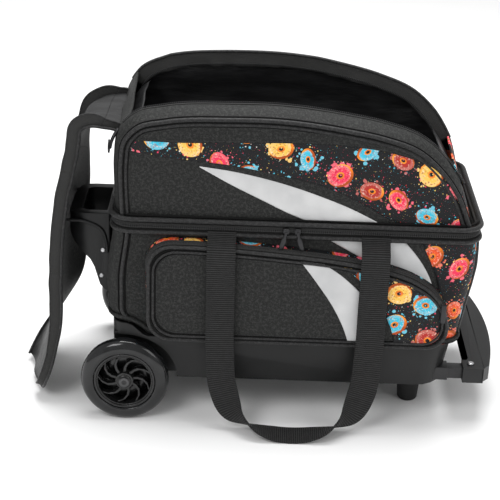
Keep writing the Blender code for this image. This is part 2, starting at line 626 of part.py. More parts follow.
# --- Lid ---------------------------------------------------------------------------------------------


def lid_joints():
    """The lid's five corners at rest: its root, three folds and its tip."""
    corners = [LID_ROOT]
    for length, degrees in zip(LID_LENGTHS, LID_OPEN_DEG):
        x, z = corners[-1]
        corners.append((x + length * math.cos(math.radians(degrees)), z + length * math.sin(math.radians(degrees))))
    return corners


def make_lid(segments, finish):
    corners = lid_joints()
    for index, (body, start, end) in enumerate(zip(segments, corners, corners[1:])):
        along = Vector((end[0] - start[0], 0, end[1] - start[1]))
        length = along.length
        along.normalize()
        normal = Vector((-along.z, 0, along.x)) * LID_THICK / 2
        low = Vector((start[0], 0, start[1])) + along * LID_END_GAP
        high = Vector((start[0], 0, start[1])) + along * (length - (LID_END_GAP if index < 3 else 0))
        last = index == len(segments) - 1
        loops = []
        for middle, half in ((low, LID_HALF_WIDTH), (high - along * 30, LID_HALF_WIDTH),
                             (high, LID_HALF_WIDTH - (24 if last else 0))):
            across = Vector((0, half, 0))
            loops.append([tuple(middle - across - normal), tuple(middle + across - normal),
                          tuple(middle + across + normal), tuple(middle - across + normal)])
        body.add(f"lid_length_{index + 1}", loft(loops), finish)


# --- Zip sliders -------------------------------------------------------------------------------------


def make_sliders(sliders, finish):
    """Each zip slider with its pull, as one small solid."""
    for label, x in (("left", -8.0), ("right", 8.0)):
        sliders[f"waist_{label}"].add(f"waist_slider_{label}", block(x - 3.2, x + 3.2, -140.6, -134.5, 276, 305), finish)
    sliders["pocket"].add("pocket_slider", block(213.5, 220.5, -156.5, -152.4, 176, 204), finish)
    ring_x, ring_z = -256.5, 414.0
    steps = 14
    loops = []
    for i in range(steps):
        angle = 2 * math.pi * i / steps
        sine, cosine = math.sin(angle), math.cos(angle)
        loops.append([(ring_x + side * 1.0, -101 + radius * sine, ring_z - 10 + radius * cosine)
                      for radius, side in ((6.5, -1), (9.5, -1), (9.5, 1), (6.5, 1))])
    sliders["shoe"].add("shoe_zip_pull", loft(loops, ring=True), finish)


def main():
    clear_scene()
    finishes = make_materials()
    chassis = Body("chassis", (0, 0, 0), None)
    make_tray(chassis, finishes["tray_plastic"])
    make_running_gear(chassis, finishes)
    make_guides(chassis, finishes["black_tube"])
    make_ball_bay(chassis, finishes["foam"])
    make_lower_body(chassis, finishes["body_fabric"])
    chassis.add("waist_band_lower", waist_band(BAND_LOW, BAND_SPLIT), finishes["webbing"])
    make_pocket(chassis, finishes["body_fabric"])
    make_grab_handle(chassis, finishes)

    carry_front = Body("carry_front", (0, FRONT_WEB_Y, FRONT_WEB_Z), chassis)
    carry_rear = Body("carry_rear", (0, REAR_WEB_Y, REAR_WEB_Z), chassis)
    make_webbing(chassis, carry_front, carry_rear, finishes["webbing"])

    for label, side in (("front", -1), ("rear", 1)):
        wheel = Body(f"wheel_{label}", (WHEEL_X, side * WHEEL_Y, WHEEL_RADIUS), chassis)
        make_wheel(wheel, label, side, finishes)

    pull_handle = Body("pull_handle", (GRIP_SEAM, 0, TUBE_Z), chassis)
    button = Body("button", (GRIP_INNER, 0, TUBE_Z), pull_handle)
    make_pull_handle(pull_handle, button, finishes)

    upper = Body("upper_bag", (0, UPPER_HINGE_Y, BAND_SPLIT), chassis)
    make_upper_bag(upper, finishes)

    segments, parent = [], upper
    for index, (x, z) in enumerate(lid_joints()[:-1]):
        parent = Body(f"lid_{index + 1}", (x, 0, z), parent)
        segments.append(parent)
    make_lid(segments, finishes["body_fabric"])

    sliders = {
        "waist_left": Body("waist_zip_left", (-8, -137, 300), chassis),
        "waist_right": Body("waist_zip_right", (8, -137, 300), chassis),
        "pocket": Body("pocket_zip", (217, -154, 190), chassis),
        "shoe": Body("shoe_zip", (-256.5, -101, 414), upper),
    }
    make_sliders(sliders, finishes["zip_metal"])


main()
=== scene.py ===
"""The rolling two-ball bowling bag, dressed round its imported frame: cloth, padding, webbing, zips and running gear.

Shapes are worked out in millimetres in the bag's own frame (x along the bag, y towards the rear, z up from the floor)
and become metres in the row frame when their mesh is written.
"""

import logging
import math
from collections.abc import Sequence
from dataclasses import dataclass
from enum import Enum

import bmesh
import bpy
import numpy as np
from mathutils import Matrix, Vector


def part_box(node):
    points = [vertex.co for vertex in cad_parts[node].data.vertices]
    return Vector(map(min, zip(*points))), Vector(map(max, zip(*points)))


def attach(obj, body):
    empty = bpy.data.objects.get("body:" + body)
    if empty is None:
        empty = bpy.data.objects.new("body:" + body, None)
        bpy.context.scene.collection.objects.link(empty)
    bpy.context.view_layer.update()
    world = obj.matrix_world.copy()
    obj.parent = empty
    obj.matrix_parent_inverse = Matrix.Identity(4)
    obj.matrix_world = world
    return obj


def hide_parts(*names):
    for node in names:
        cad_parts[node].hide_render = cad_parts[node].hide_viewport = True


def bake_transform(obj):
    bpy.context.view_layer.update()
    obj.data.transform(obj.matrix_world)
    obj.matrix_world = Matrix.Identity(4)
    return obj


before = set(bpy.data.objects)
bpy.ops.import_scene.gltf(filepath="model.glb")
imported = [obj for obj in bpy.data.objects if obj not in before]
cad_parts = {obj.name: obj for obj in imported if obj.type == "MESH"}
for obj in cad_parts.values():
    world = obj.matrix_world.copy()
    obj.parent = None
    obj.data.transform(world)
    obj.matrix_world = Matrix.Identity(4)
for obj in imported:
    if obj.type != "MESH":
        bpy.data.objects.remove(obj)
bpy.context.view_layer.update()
LOG = logging.getLogger("bowling_bag")
MM = 0.001
WELD = 2e-5
HARD_EDGE = 32.0
HASH_TURNS = np.array([127.1, 311.7, 74.7])
HASH_SPREAD = 43758.5453
WHEEL_X = -232.0
AXLE_Z = 63.5
WHEEL_Y = 142.0
SHIFT = sum(corner.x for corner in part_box("tyre_front")) / 2 - WHEEL_X * MM
Grid = np.ndarray
Piece = bpy.types.Object
Material = bpy.types.Material
Triple = tuple[float, float, float]


# --- Curves and noise ---


def ease(t: Grid) -> Grid:
    """Smooth step: three t squared less two t cubed, with t held between 0 and 1."""
    t = np.clip(t, 0, 1)
    return t * t * (3 - 2 * t)


def grid_of(*parts: Grid) -> Grid:
    """Coordinates broadcast together and stacked as the last axis."""
    return np.stack(np.broadcast_arrays(*parts), axis=-1).astype(float)


def unit(v: Grid) -> Grid:
    """Vectors scaled to length one."""
    return v / np.maximum(np.linalg.norm(v, axis=-1, keepdims=True), 1e-9)


def run_length(path: Grid) -> Grid:
    """Distance along a path to each of its points."""
    return np.concatenate([[0], np.cumsum(np.linalg.norm(np.diff(path, axis=0), axis=1))])


def evenly(path: Grid, count: int) -> Grid:
    """The path resampled at equal steps of its length."""
    s = run_length(path)
    at = np.linspace(0, s[-1], count)
    return np.stack([np.interp(at, s, path[:, k]) for k in range(path.shape[1])], axis=1)


def curve(points: Sequence[Sequence[float]], count: int) -> Grid:
    """A smooth curve through points: each span is a cubic Hermite curve, its end slopes central differences over chord
    length.

    Args:
        points: What the curve passes through.
        count: How many points to give back.

    Returns:
        Points at equal steps along the curve.
    """
    p = np.asarray(points, float)
    t = run_length(p)
    slope = np.gradient(p, t, axis=0)
    u = np.linspace(0, t[-1], 6 * count)
    i = np.clip(np.searchsorted(t, u, "right") - 1, 0, len(t) - 2)
    h = (t[i + 1] - t[i])[:, None]
    s = (u - t[i])[:, None] / h
    dense = ((2 * s**3 - 3 * s**2 + 1) * p[i] + (s**3 - 2 * s**2 + s) * h * slope[i]
             + (3 * s**2 - 2 * s**3) * p[i + 1] + (s**3 - s**2) * h * slope[i + 1])
    return evenly(dense, count)


def ripple(points: Grid, size: float, seed: int = 0) -> Grid:
    """Smooth noise: hashed heights on a cubic lattice, blended by smooth steps.

    Args:
        points: Where it is wanted, in mm.
        size: The lattice's step in mm.
        seed: Which noise it is.

    Returns:
        A height from -1 to 1 at each point.
    """
    q = points / size + seed * 7.31
    cell = np.floor(q)
    f = ease(q - cell)
    total = np.zeros(points.shape[:-1])
    for corner in np.ndindex(2, 2, 2):
        c = np.array(corner)
        wild = np.sin((cell + c) @ HASH_TURNS + seed) * HASH_SPREAD
        total += np.prod(np.where(c == 1, f, 1 - f), axis=-1) * (2 * (wild - np.floor(wild)) - 1)
    return total


def face_normals(grid: Grid, wrap_u: bool) -> Grid:
    """Unit normals of a grid surface: the cross product of its two directions' central differences.

    Args:
        grid: Rows by columns of points.
        wrap_u: Whether the rows close into a ring.

    Returns:
        A normal for each point.
    """
    along = np.roll(grid, -1, 0) - np.roll(grid, 1, 0) if wrap_u else np.gradient(grid, axis=0)
    return unit(np.cross(along, np.gradient(grid, axis=1)))


# --- Meshes ---


def quads(rows: int, cols: int, wrap_u: bool = False, wrap_v: bool = False, first: int = 0) -> Grid:
    """A grid's quads, wound so that they face along u cross v.

    Args:
        rows: Points along u.
        cols: Points along v.
        wrap_u: Whether the rows close into a ring.
        wrap_v: Whether the columns do.
        first: The number of the grid's first point.

    Returns:
        Four corner numbers for each quad.
    """
    i = np.arange(rows if wrap_u else rows - 1)[:, None]
    j = np.arange(cols if wrap_v else cols - 1)[None, :]
    i, j = np.broadcast_arrays(i, j)
    ni, nj = (i + 1) % rows, (j + 1) % cols
    return first + np.stack([i * cols + j, ni * cols + j, ni * cols + nj, i * cols + nj], axis=-1).reshape(-1, 4)


def make_mesh(name: str, points: Grid, faces: Sequence, uv: Grid | None = None,
              smooth: bool = True) -> Piece:
    """An object at the origin whose mesh holds the points, moved from the bag's frame in mm to the row frame.

    Args:
        name: The piece's name.
        points: Vertices in mm.
        faces: Corner numbers of each face.
        uv: A pair of mm per vertex, kept as metres in the piece's own map.
        smooth: Whether its faces shade as one surface.

    Returns:
        The piece.
    """
    points = points.reshape(-1, 3)
    mesh = bpy.data.meshes.new(name)
    mesh.from_pydata((points * MM + [SHIFT, 0, 0]).tolist(), [], [list(map(int, f)) for f in faces])
    if uv is not None:
        corners = np.empty(len(mesh.loops), np.int32)
        mesh.loops.foreach_get("vertex_index", corners)
        layer = mesh.uv_layers.new(name="cloth")
        layer.data.foreach_set("uv", (uv.reshape(-1, 2)[corners] * MM).astype(np.float32).ravel())
    mesh.polygons.foreach_set("use_smooth", np.full(len(mesh.polygons), smooth))
    mesh.validate()
    mesh.update()
    piece = bpy.data.objects.new(name, mesh)
    bpy.context.scene.collection.objects.link(piece)
    return piece


def shell(name: str, grid: Grid, front: float, back: float, uv: Grid, wrap_u: bool = False) -> Piece:
    """A closed sheet: the grid moved out along its normals by front and in by back, joined round its open edges.

    Args:
        name: The piece's name.
        grid: Rows by columns of points in mm, normals outwards along u cross v.
        front: How far the outer face stands out.
        back: How far the inner face stands in.
        uv: A map for the grid.
        wrap_u: Whether the rows close into a ring.

    Returns:
        The piece.
    """
    rows, cols = grid.shape[:2]
    n = face_normals(grid, wrap_u)
    points = np.concatenate([(grid + n * front).reshape(-1, 3), (grid - n * back).reshape(-1, 3)])
    total = rows * cols
    faces = [quads(rows, cols, wrap_u), quads(rows, cols, wrap_u, first=total)[:, ::-1]]
    index = np.arange(total).reshape(rows, cols)
    edges = [(index[:, 0], False), (index[:, -1], True)]
    if not wrap_u:
        edges += [(index[0], True), (index[-1], False)]
    for edge, turn in edges:
        a, b = (edge, np.roll(edge, -1)) if wrap_u else (edge[:-1], edge[1:])
        rim = np.stack([a, a + total, b + total, b], axis=1)
        faces.append(rim[:, ::-1] if turn else rim)
    return outwards(make_mesh(name, points, np.concatenate(faces), np.concatenate([uv.reshape(-1, 2)] * 2)))


def sweep(name: str, path: Grid, side: Grid, section: Grid, closed: bool = False) -> Piece:
    """A section carried along a path: each point is path plus side times x plus lift times y.

    Lift is side turned a quarter round the path, and the ends are capped unless the path is closed.

    Args:
        name: The piece's name.
        path: Points in mm.
        side: The section's x direction at each point, or one for all.
        section: Points (x, y) of the section, anticlockwise.
        closed: Whether the path is a ring.

    Returns:
        The piece.
    """
    along = unit(np.roll(path, -1, 0) - np.roll(path, 1, 0) if closed else np.gradient(path, axis=0))
    side = np.broadcast_to(np.asarray(side, float), path.shape)
    side = unit(side - along * np.sum(side * along, axis=1, keepdims=True))
    lift = np.cross(along, side)
    grid = path[:, None] + side[:, None] * section[None, :, :1] + lift[:, None] * section[None, :, 1:]
    rows, cols = grid.shape[:2]
    ring = np.concatenate([section, section[:1]])
    u = run_length(path)[:, None]
    v = run_length(ring)[None, :-1]
    faces = quads(rows, cols, closed, True)[:, ::-1].tolist()
    if not closed:
        faces += [list(range(cols)), list(range((rows - 1) * cols, rows * cols))[::-1]]
    return outwards(make_mesh(name, grid, faces, grid_of(u, v)))


def outwards(piece: Piece) -> Piece:
    """Turns the faces of a closed mesh away from its inside.

    Args:
        piece: The piece.

    Returns:
        The same piece.
    """
    b = bmesh.new()
    b.from_mesh(piece.data)
    bmesh.ops.recalc_face_normals(b, faces=b.faces)
    b.to_mesh(piece.data)
    b.free()
    return piece


def disc(radius: float, sides: int = 8, squash: float = 1.0) -> Grid:
    """A round section, or with squash an oval one."""
    a = np.arange(sides) * 2 * math.pi / sides
    return np.stack([radius * np.cos(a), radius * squash * np.sin(a)], axis=1)


def flat(width: float, thick: float) -> Grid:
    """A strap's section: flat with rounded edges."""
    w, t = width / 2, thick / 2
    return np.array([(-w, -t * 0.4), (-w + t * 0.6, -t), (-w * 0.5, -t), (0, -t), (w * 0.5, -t), (w - t * 0.6, -t),
                     (w, -t * 0.4), (w, t * 0.4), (w - t * 0.6, t), (w * 0.5, t), (0, t), (-w * 0.5, t),
                     (-w + t * 0.6, t), (-w, t * 0.4)])


def lathe(name: str, profile: Sequence[Sequence[float]], centre: Sequence[float], steps: int = 96) -> Piece:
    """A profile turned about an axle along y: x is r cos a and z is r sin a.

    Args:
        name: The piece's name.
        profile: Closed points of (radius, y) in mm.
        centre: The axle's point in mm.
        steps: Points round the turn.

    Returns:
        The piece.
    """
    p = np.asarray(profile, float)
    a = np.arange(steps)[:, None] * 2 * math.pi / steps
    grid = grid_of(centre[0] + p[None, :, 0] * np.cos(a), centre[1] + p[None, :, 1] + 0 * a,
                   centre[2] + p[None, :, 0] * np.sin(a))
    faces = quads(steps, len(p), True, True)
    around = a * np.ones_like(p[None, :, 0]) * 40
    return outwards(make_mesh(name, grid, faces, grid_of(around, run_length(p)[None, :] + 0 * a)))


def bricks(name: str, centres: Grid, along: Grid, out: Grid, size: Sequence[float]) -> Piece:
    """Many small blocks as one mesh, such as stitches or zip teeth: each has its own centre and directions.

    Args:
        name: The piece's name.
        centres: Middle of each block in mm.
        along: The direction of each one's length.
        out: The direction of each one's height.
        size: Length, width and height in mm.

    Returns:
        The piece.
    """
    along = unit(along)
    out = unit(out - along * np.sum(out * along, axis=1, keepdims=True))
    over = np.cross(out, along)
    corner = np.array([(x, y, z) for x in (-0.5, 0.5) for y in (-0.5, 0.5) for z in (-0.5, 0.5)]) * size
    inset = np.where(corner[:, 2:] > 0, 0.72, 1.0)
    points = (centres[:, None] + along[:, None] * corner[None, :, :1] * inset[None] + over[:, None]
              * corner[None, :, 1:2] * inset[None] + out[:, None] * corner[None, :, 2:])
    box = np.array([(0, 1, 3, 2), (4, 6, 7, 5), (0, 4, 5, 1), (2, 3, 7, 6), (0, 2, 6, 4), (1, 5, 7, 3)])
    faces = (np.arange(len(centres))[:, None, None] * 8 + box[None]).reshape(-1, 4)
    return outwards(make_mesh(name, points, faces, np.zeros((len(centres) * 8, 2)), smooth=False))


def stitches(name: str, path: Grid, out: Grid, pitch: float = 4.4, length: float = 3.0,
             thick: float = 0.7) -> Piece:
    """A row of stitches along a path.

    Args:
        name: The piece's name.
        path: The seam's points in mm.
        out: Away from the cloth, once or at each point.
        pitch: From stitch to stitch in mm.
        length: Of each stitch.
        thick: Of the thread.

    Returns:
        The piece.
    """
    count = max(int(run_length(path)[-1] / pitch), 3)
    centres = evenly(path, count)
    along = np.gradient(centres, axis=0)
    lift = np.broadcast_to(np.asarray(out, float), path.shape)
    at, known = np.linspace(0, 1, count), np.linspace(0, 1, len(path))
    lift = np.stack([np.interp(at, known, lift[:, k]) for k in range(3)], axis=1)
    return bricks(name, centres + unit(lift) * thick * 0.2, along, lift, (length, thick, thick * 0.8))


def rounded(node: str, name: str, bevel: float, segments: int = 3) -> Piece:
    """A CAD node's mesh copied, its corners merged and its hard edges rounded.

    Args:
        node: The CAD node.
        name: The new piece's name.
        bevel: The rounding's width in mm.
        segments: Its steps.

    Returns:
        The piece.
    """
    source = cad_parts[node]
    mesh = source.data.copy()
    mesh.name = name
    b = bmesh.new()
    b.from_mesh(mesh)
    bmesh.ops.remove_doubles(b, verts=b.verts, dist=WELD)
    bmesh.ops.dissolve_limit(b, angle_limit=math.radians(1.0), verts=b.verts, edges=b.edges)
    for face in b.faces:
        face.smooth = True
    b.to_mesh(mesh)
    b.free()
    mesh.materials.clear()
    piece = bpy.data.objects.new(name, mesh)
    bpy.context.scene.collection.objects.link(piece)
    edge = piece.modifiers.new("edge", "BEVEL")
    edge.width = bevel * MM
    edge.segments = segments
    edge.limit_method = "ANGLE"
    edge.angle_limit = math.radians(HARD_EDGE)
    edge.harden_normals = False
    edge.use_clamp_overlap = True
    return piece


# --- Shader writing ---


@dataclass(frozen=True)
class Sock:
    """An output socket whose operators add Math nodes, so that shader sums read as expressions."""

    tree: bpy.types.NodeTree
    out: bpy.types.NodeSocket

    def op(self, operation: str, *values: "Sock | float", swap: bool = False) -> "Sock":
        """Adds one Math node.

        Args:
            operation: Its operation.
            values: The other terms.
            swap: Whether this socket comes last.

        Returns:
            The node's output.
        """
        node = self.tree.nodes.new("ShaderNodeMath")
        node.operation = operation
        terms = [*values, self] if swap else [self, *values]
        for socket, term in zip(node.inputs, terms):
            if isinstance(term, Sock):
                self.tree.links.new(term.out, socket)
            else:
                socket.default_value = term
        return Sock(self.tree, node.outputs[0])

    def __add__(self, o: "Sock | float") -> "Sock":
        """The sum."""
        return self.op("ADD", o)

    def __radd__(self, o: float) -> "Sock":
        """The sum, number first."""
        return self.op("ADD", o)

    def __sub__(self, o: "Sock | float") -> "Sock":
        """The difference."""
        return self.op("SUBTRACT", o)

    def __rsub__(self, o: float) -> "Sock":
        """The difference, number first."""
        return self.op("SUBTRACT", o, swap=True)

    def __mul__(self, o: "Sock | float") -> "Sock":
        """The product."""
        return self.op("MULTIPLY", o)

    def __rmul__(self, o: float) -> "Sock":
        """The product, number first."""
        return self.op("MULTIPLY", o)

    def __truediv__(self, o: "Sock | float") -> "Sock":
        """The quotient."""
        return self.op("DIVIDE", o)

    def __gt__(self, o: "Sock | float") -> "Sock":
        """1 where this is greater, else 0."""
        return self.op("GREATER_THAN", o)

    def __lt__(self, o: "Sock | float") -> "Sock":
        """1 where this is less, else 0."""
        return self.op("LESS_THAN", o)

    def sin(self) -> "Sock":
        """Its sine."""
        return self.op("SINE")

    def fade(self, low: float, high: float) -> "Sock":
        """0 at low and 1 at high, a smooth step between."""
        node = self.tree.nodes.new("ShaderNodeMapRange")
        node.interpolation_type = "SMOOTHSTEP"
        self.tree.links.new(self.out, node.inputs["Value"])
        node.inputs["From Min"].default_value, node.inputs["From Max"].default_value = low, high
        return Sock(self.tree, node.outputs[0])


Value = Sock | float | Sequence[float]


class Dye:
    """A material being written: its nodes, and what feeds its shader."""

    def __init__(self, name: str) -> None:
        """Starts an empty material of that name."""
        self.material = bpy.data.materials.new(name)
        self.material.use_nodes = True
        self.tree = self.material.node_tree
        self.tree.nodes.clear()

    def node(self, kind: str, settings: dict | None = None, inputs: dict[str | int, Value] | None = None,
             out: str | int = 0) -> Sock:
        """Any node: its type, its settings, its sockets' values or links, and which output is wanted.

        Args:
            kind: The node's type after "ShaderNode".
            settings: Its properties, and "stops" for a ramp.
            inputs: Values or links by socket name or number.
            out: The output's name or number.

        Returns:
            The wanted output.
        """
        node = self.tree.nodes.new("ShaderNode" + kind)
        for key, value in (settings or {}).items():
            if key == "stops":
                ramp = node.color_ramp
                while len(ramp.elements) < len(value):
                    ramp.elements.new(1.0)
                for element, (at, colour) in zip(ramp.elements, value):
                    element.position, element.color = at, (*colour, 1)
            elif key == "ramp":
                node.color_ramp.interpolation = value
            else:
                setattr(node, key, value)
        for key, value in (inputs or {}).items():
            socket = node.inputs[key]
            if isinstance(value, Sock):
                self.tree.links.new(value.out, socket)
            else:
                socket.default_value = (*value, 1) if hasattr(value, "__len__") and len(value) == 3 \
                    and socket.type == "RGBA" else value
        return Sock(self.tree, node.outputs[out])

    def cloth_mm(self, turn: float = 0.0, shift: Sequence[float] = (0, 0, 0)) -> Sock:
        """The piece's own map in millimetres, turned by an angle in radians and shifted."""
        uv = self.node("UVMap", {"uv_map": "cloth"})
        return self.node("Mapping", {}, {0: uv, "Scale": (1000, 1000, 1000), "Rotation": (0, 0, turn),
                                         "Location": tuple(shift)})

    def place_mm(self) -> Sock:
        """Object coordinates in millimetres."""
        return self.node("Mapping", {}, {0: self.node("TexCoord", {}, {}, "Object"), "Scale": (1000, 1000, 1000)})

    def split(self, vector: Sock) -> tuple[Sock, Sock, Sock]:
        """A vector's three numbers."""
        node = self.tree.nodes.new("ShaderNodeSeparateXYZ")
        self.tree.links.new(vector.out, node.inputs[0])
        return tuple(Sock(self.tree, o) for o in node.outputs)

    def noise(self, vector: Sock, size: float, detail: float = 2.0, rough: float = 0.5, seed: float = 0.0) -> Sock:
        """Noise.

        Args:
            vector: Where it is read, in mm.
            size: About how long its waves are, in mm.
            detail: How many finer layers it has.
            rough: How strong they are.
            seed: Which noise it is.

        Returns:
            A value from 0 to 1.
        """
        return self.node("TexNoise", {"noise_dimensions": "4D"}, {"Vector": vector, "W": seed, "Scale": 1 / size,
                                                                    "Detail": detail, "Roughness": rough})

    def scatter(self, vector: Sock, size: float, loose: float = 1.0) -> tuple[Sock, Sock, Sock]:
        """Scattered points.

        Args:
            vector: Where they are looked up, in mm.
            size: The lattice's step in mm.
            loose: How far points leave the lattice, from 0 to 1.

        Returns:
            The distance to the nearest point in lattice steps, that point's random colour, and the point.
        """
        node = self.tree.nodes.new("ShaderNodeTexVoronoi")
        node.voronoi_dimensions = "2D"
        self.tree.links.new(vector.out, node.inputs["Vector"])
        node.inputs["Scale"].default_value = 1 / size
        node.inputs["Randomness"].default_value = loose
        return tuple(Sock(self.tree, node.outputs[k]) for k in ("Distance", "Color", "Position"))

    def mix(self, factor: Value, a: Value, b: Value) -> Sock:
        """A colour mix.

        Args:
            factor: How much of b.
            a: The first colour.
            b: The second.

        Returns:
            The mixed colour.
        """
        node = self.tree.nodes.new("ShaderNodeMix")
        node.data_type = "RGBA"
        for socket, value in ((node.inputs[0], factor), (node.inputs[6], a), (node.inputs[7], b)):
            if isinstance(value, Sock):
                self.tree.links.new(value.out, socket)
            else:
                socket.default_value = (*value, 1) if hasattr(value, "__len__") else value
        return Sock(self.tree, node.outputs[2])

    def ramp(self, factor: Sock, *stops: tuple[float, Sequence[float]], kind: str = "LINEAR") -> Sock:
        """A colour ramp through (place, colour) stops."""
        return self.node("ValToRGB", {"stops": stops, "ramp": kind}, {"Fac": factor})

    def bump(self, height: Sock, distance: float, strength: float = 1.0) -> Sock:
        """A normal from a height; distance is its full height in mm."""
        return self.node("Bump", {}, {"Strength": strength, "Distance": distance * MM, "Height": height})

    def finish(self, **sockets: Value) -> Material:
        """Writes the Principled shader.

        Args:
            sockets: Its sockets' values or links, spaces in their names as underscores.

        Returns:
            The material.
        """
        shader = self.tree.nodes.new("ShaderNodeBsdfPrincipled")
        for key, value in sockets.items():
            socket = shader.inputs[key.replace("_", " ")]
            if isinstance(value, Sock):
                self.tree.links.new(value.out, socket)
            elif hasattr(value, "__len__"):
                socket.default_value = (*value, 1)
            else:
                socket.default_value = value
        output = self.tree.nodes.new("ShaderNodeOutputMaterial")
        self.tree.links.new(shader.outputs[0], output.inputs[0])
        return self.material


# --- Finishes ---

MATERIALS: dict[object, Material] = {}


@dataclass(frozen=True)
class Finish:
    """What a surface is made of, and the name of the record's material slot it belongs to, which this script does not
    assign to any piece. Each kind writes its own nodes, once.
    """

    name: str
    slot: str

    def material(self) -> Material:
        """The finish's material, written the first time it is asked for."""
        if self not in MATERIALS:
            MATERIALS[self] = self.write(Dye(self.name))
        return MATERIALS[self]

    def write(self, dye: Dye) -> Material:
        """Writes the nodes."""
        raise NotImplementedError


@dataclass(frozen=True)
class Cloth(Finish):
    """Coated plain-weave polyester: a fine over-and-under weave with speckle, dust and soft creases."""

    colour: Triple = (0.0045, 0.0047, 0.0047)
    light: Triple = (0.042, 0.043, 0.041)
    thread: float = 0.85
    rough: float = 0.62
    crease: float = 0.5

    def weave(self, dye: Dye, uv: Sock) -> Sock:
        """Thread height at uv: the product of two sines, one along each thread, plus uneven yarn."""
        x, y, _ = dye.split(uv)
        turn = math.pi / self.thread
        return (x * turn).sin() * (y * turn).sin() * 0.5 + 0.5 + dye.noise(uv, self.thread * 1.7, 1) * 0.8

    def write(self, dye: Dye) -> Material:
        """Weave, speckle of lighter yarn, broad unevenness and creases.

        Args:
            dye: The material being written.

        Returns:
            The material.
        """
        uv = dye.cloth_mm()
        place = dye.place_mm()
        weave = self.weave(dye, uv)
        fine = dye.noise(uv, 1.6, 2, 0.6).fade(0.42, 0.68)
        coarse = dye.noise(uv, 4.2, 2, 0.9, 4).fade(0.46, 0.62)
        broad = dye.noise(place, 60, 2)
        colour = dye.mix(fine * 0.3 + coarse * 0.5 + broad * 0.15, self.colour, self.light)
        folds = dye.noise(place, 24, 2, 0.45) * self.crease
        return dye.finish(Base_Color=colour, Roughness=self.rough + broad * 0.14 - weave * 0.05,
                          Normal=dye.bump(weave * 0.22 + coarse * 0.25 + folds * 3.0, 0.9, 0.6), Sheen_Weight=0.02,
                          Sheen_Roughness=0.5, Specular_IOR_Level=0.22)


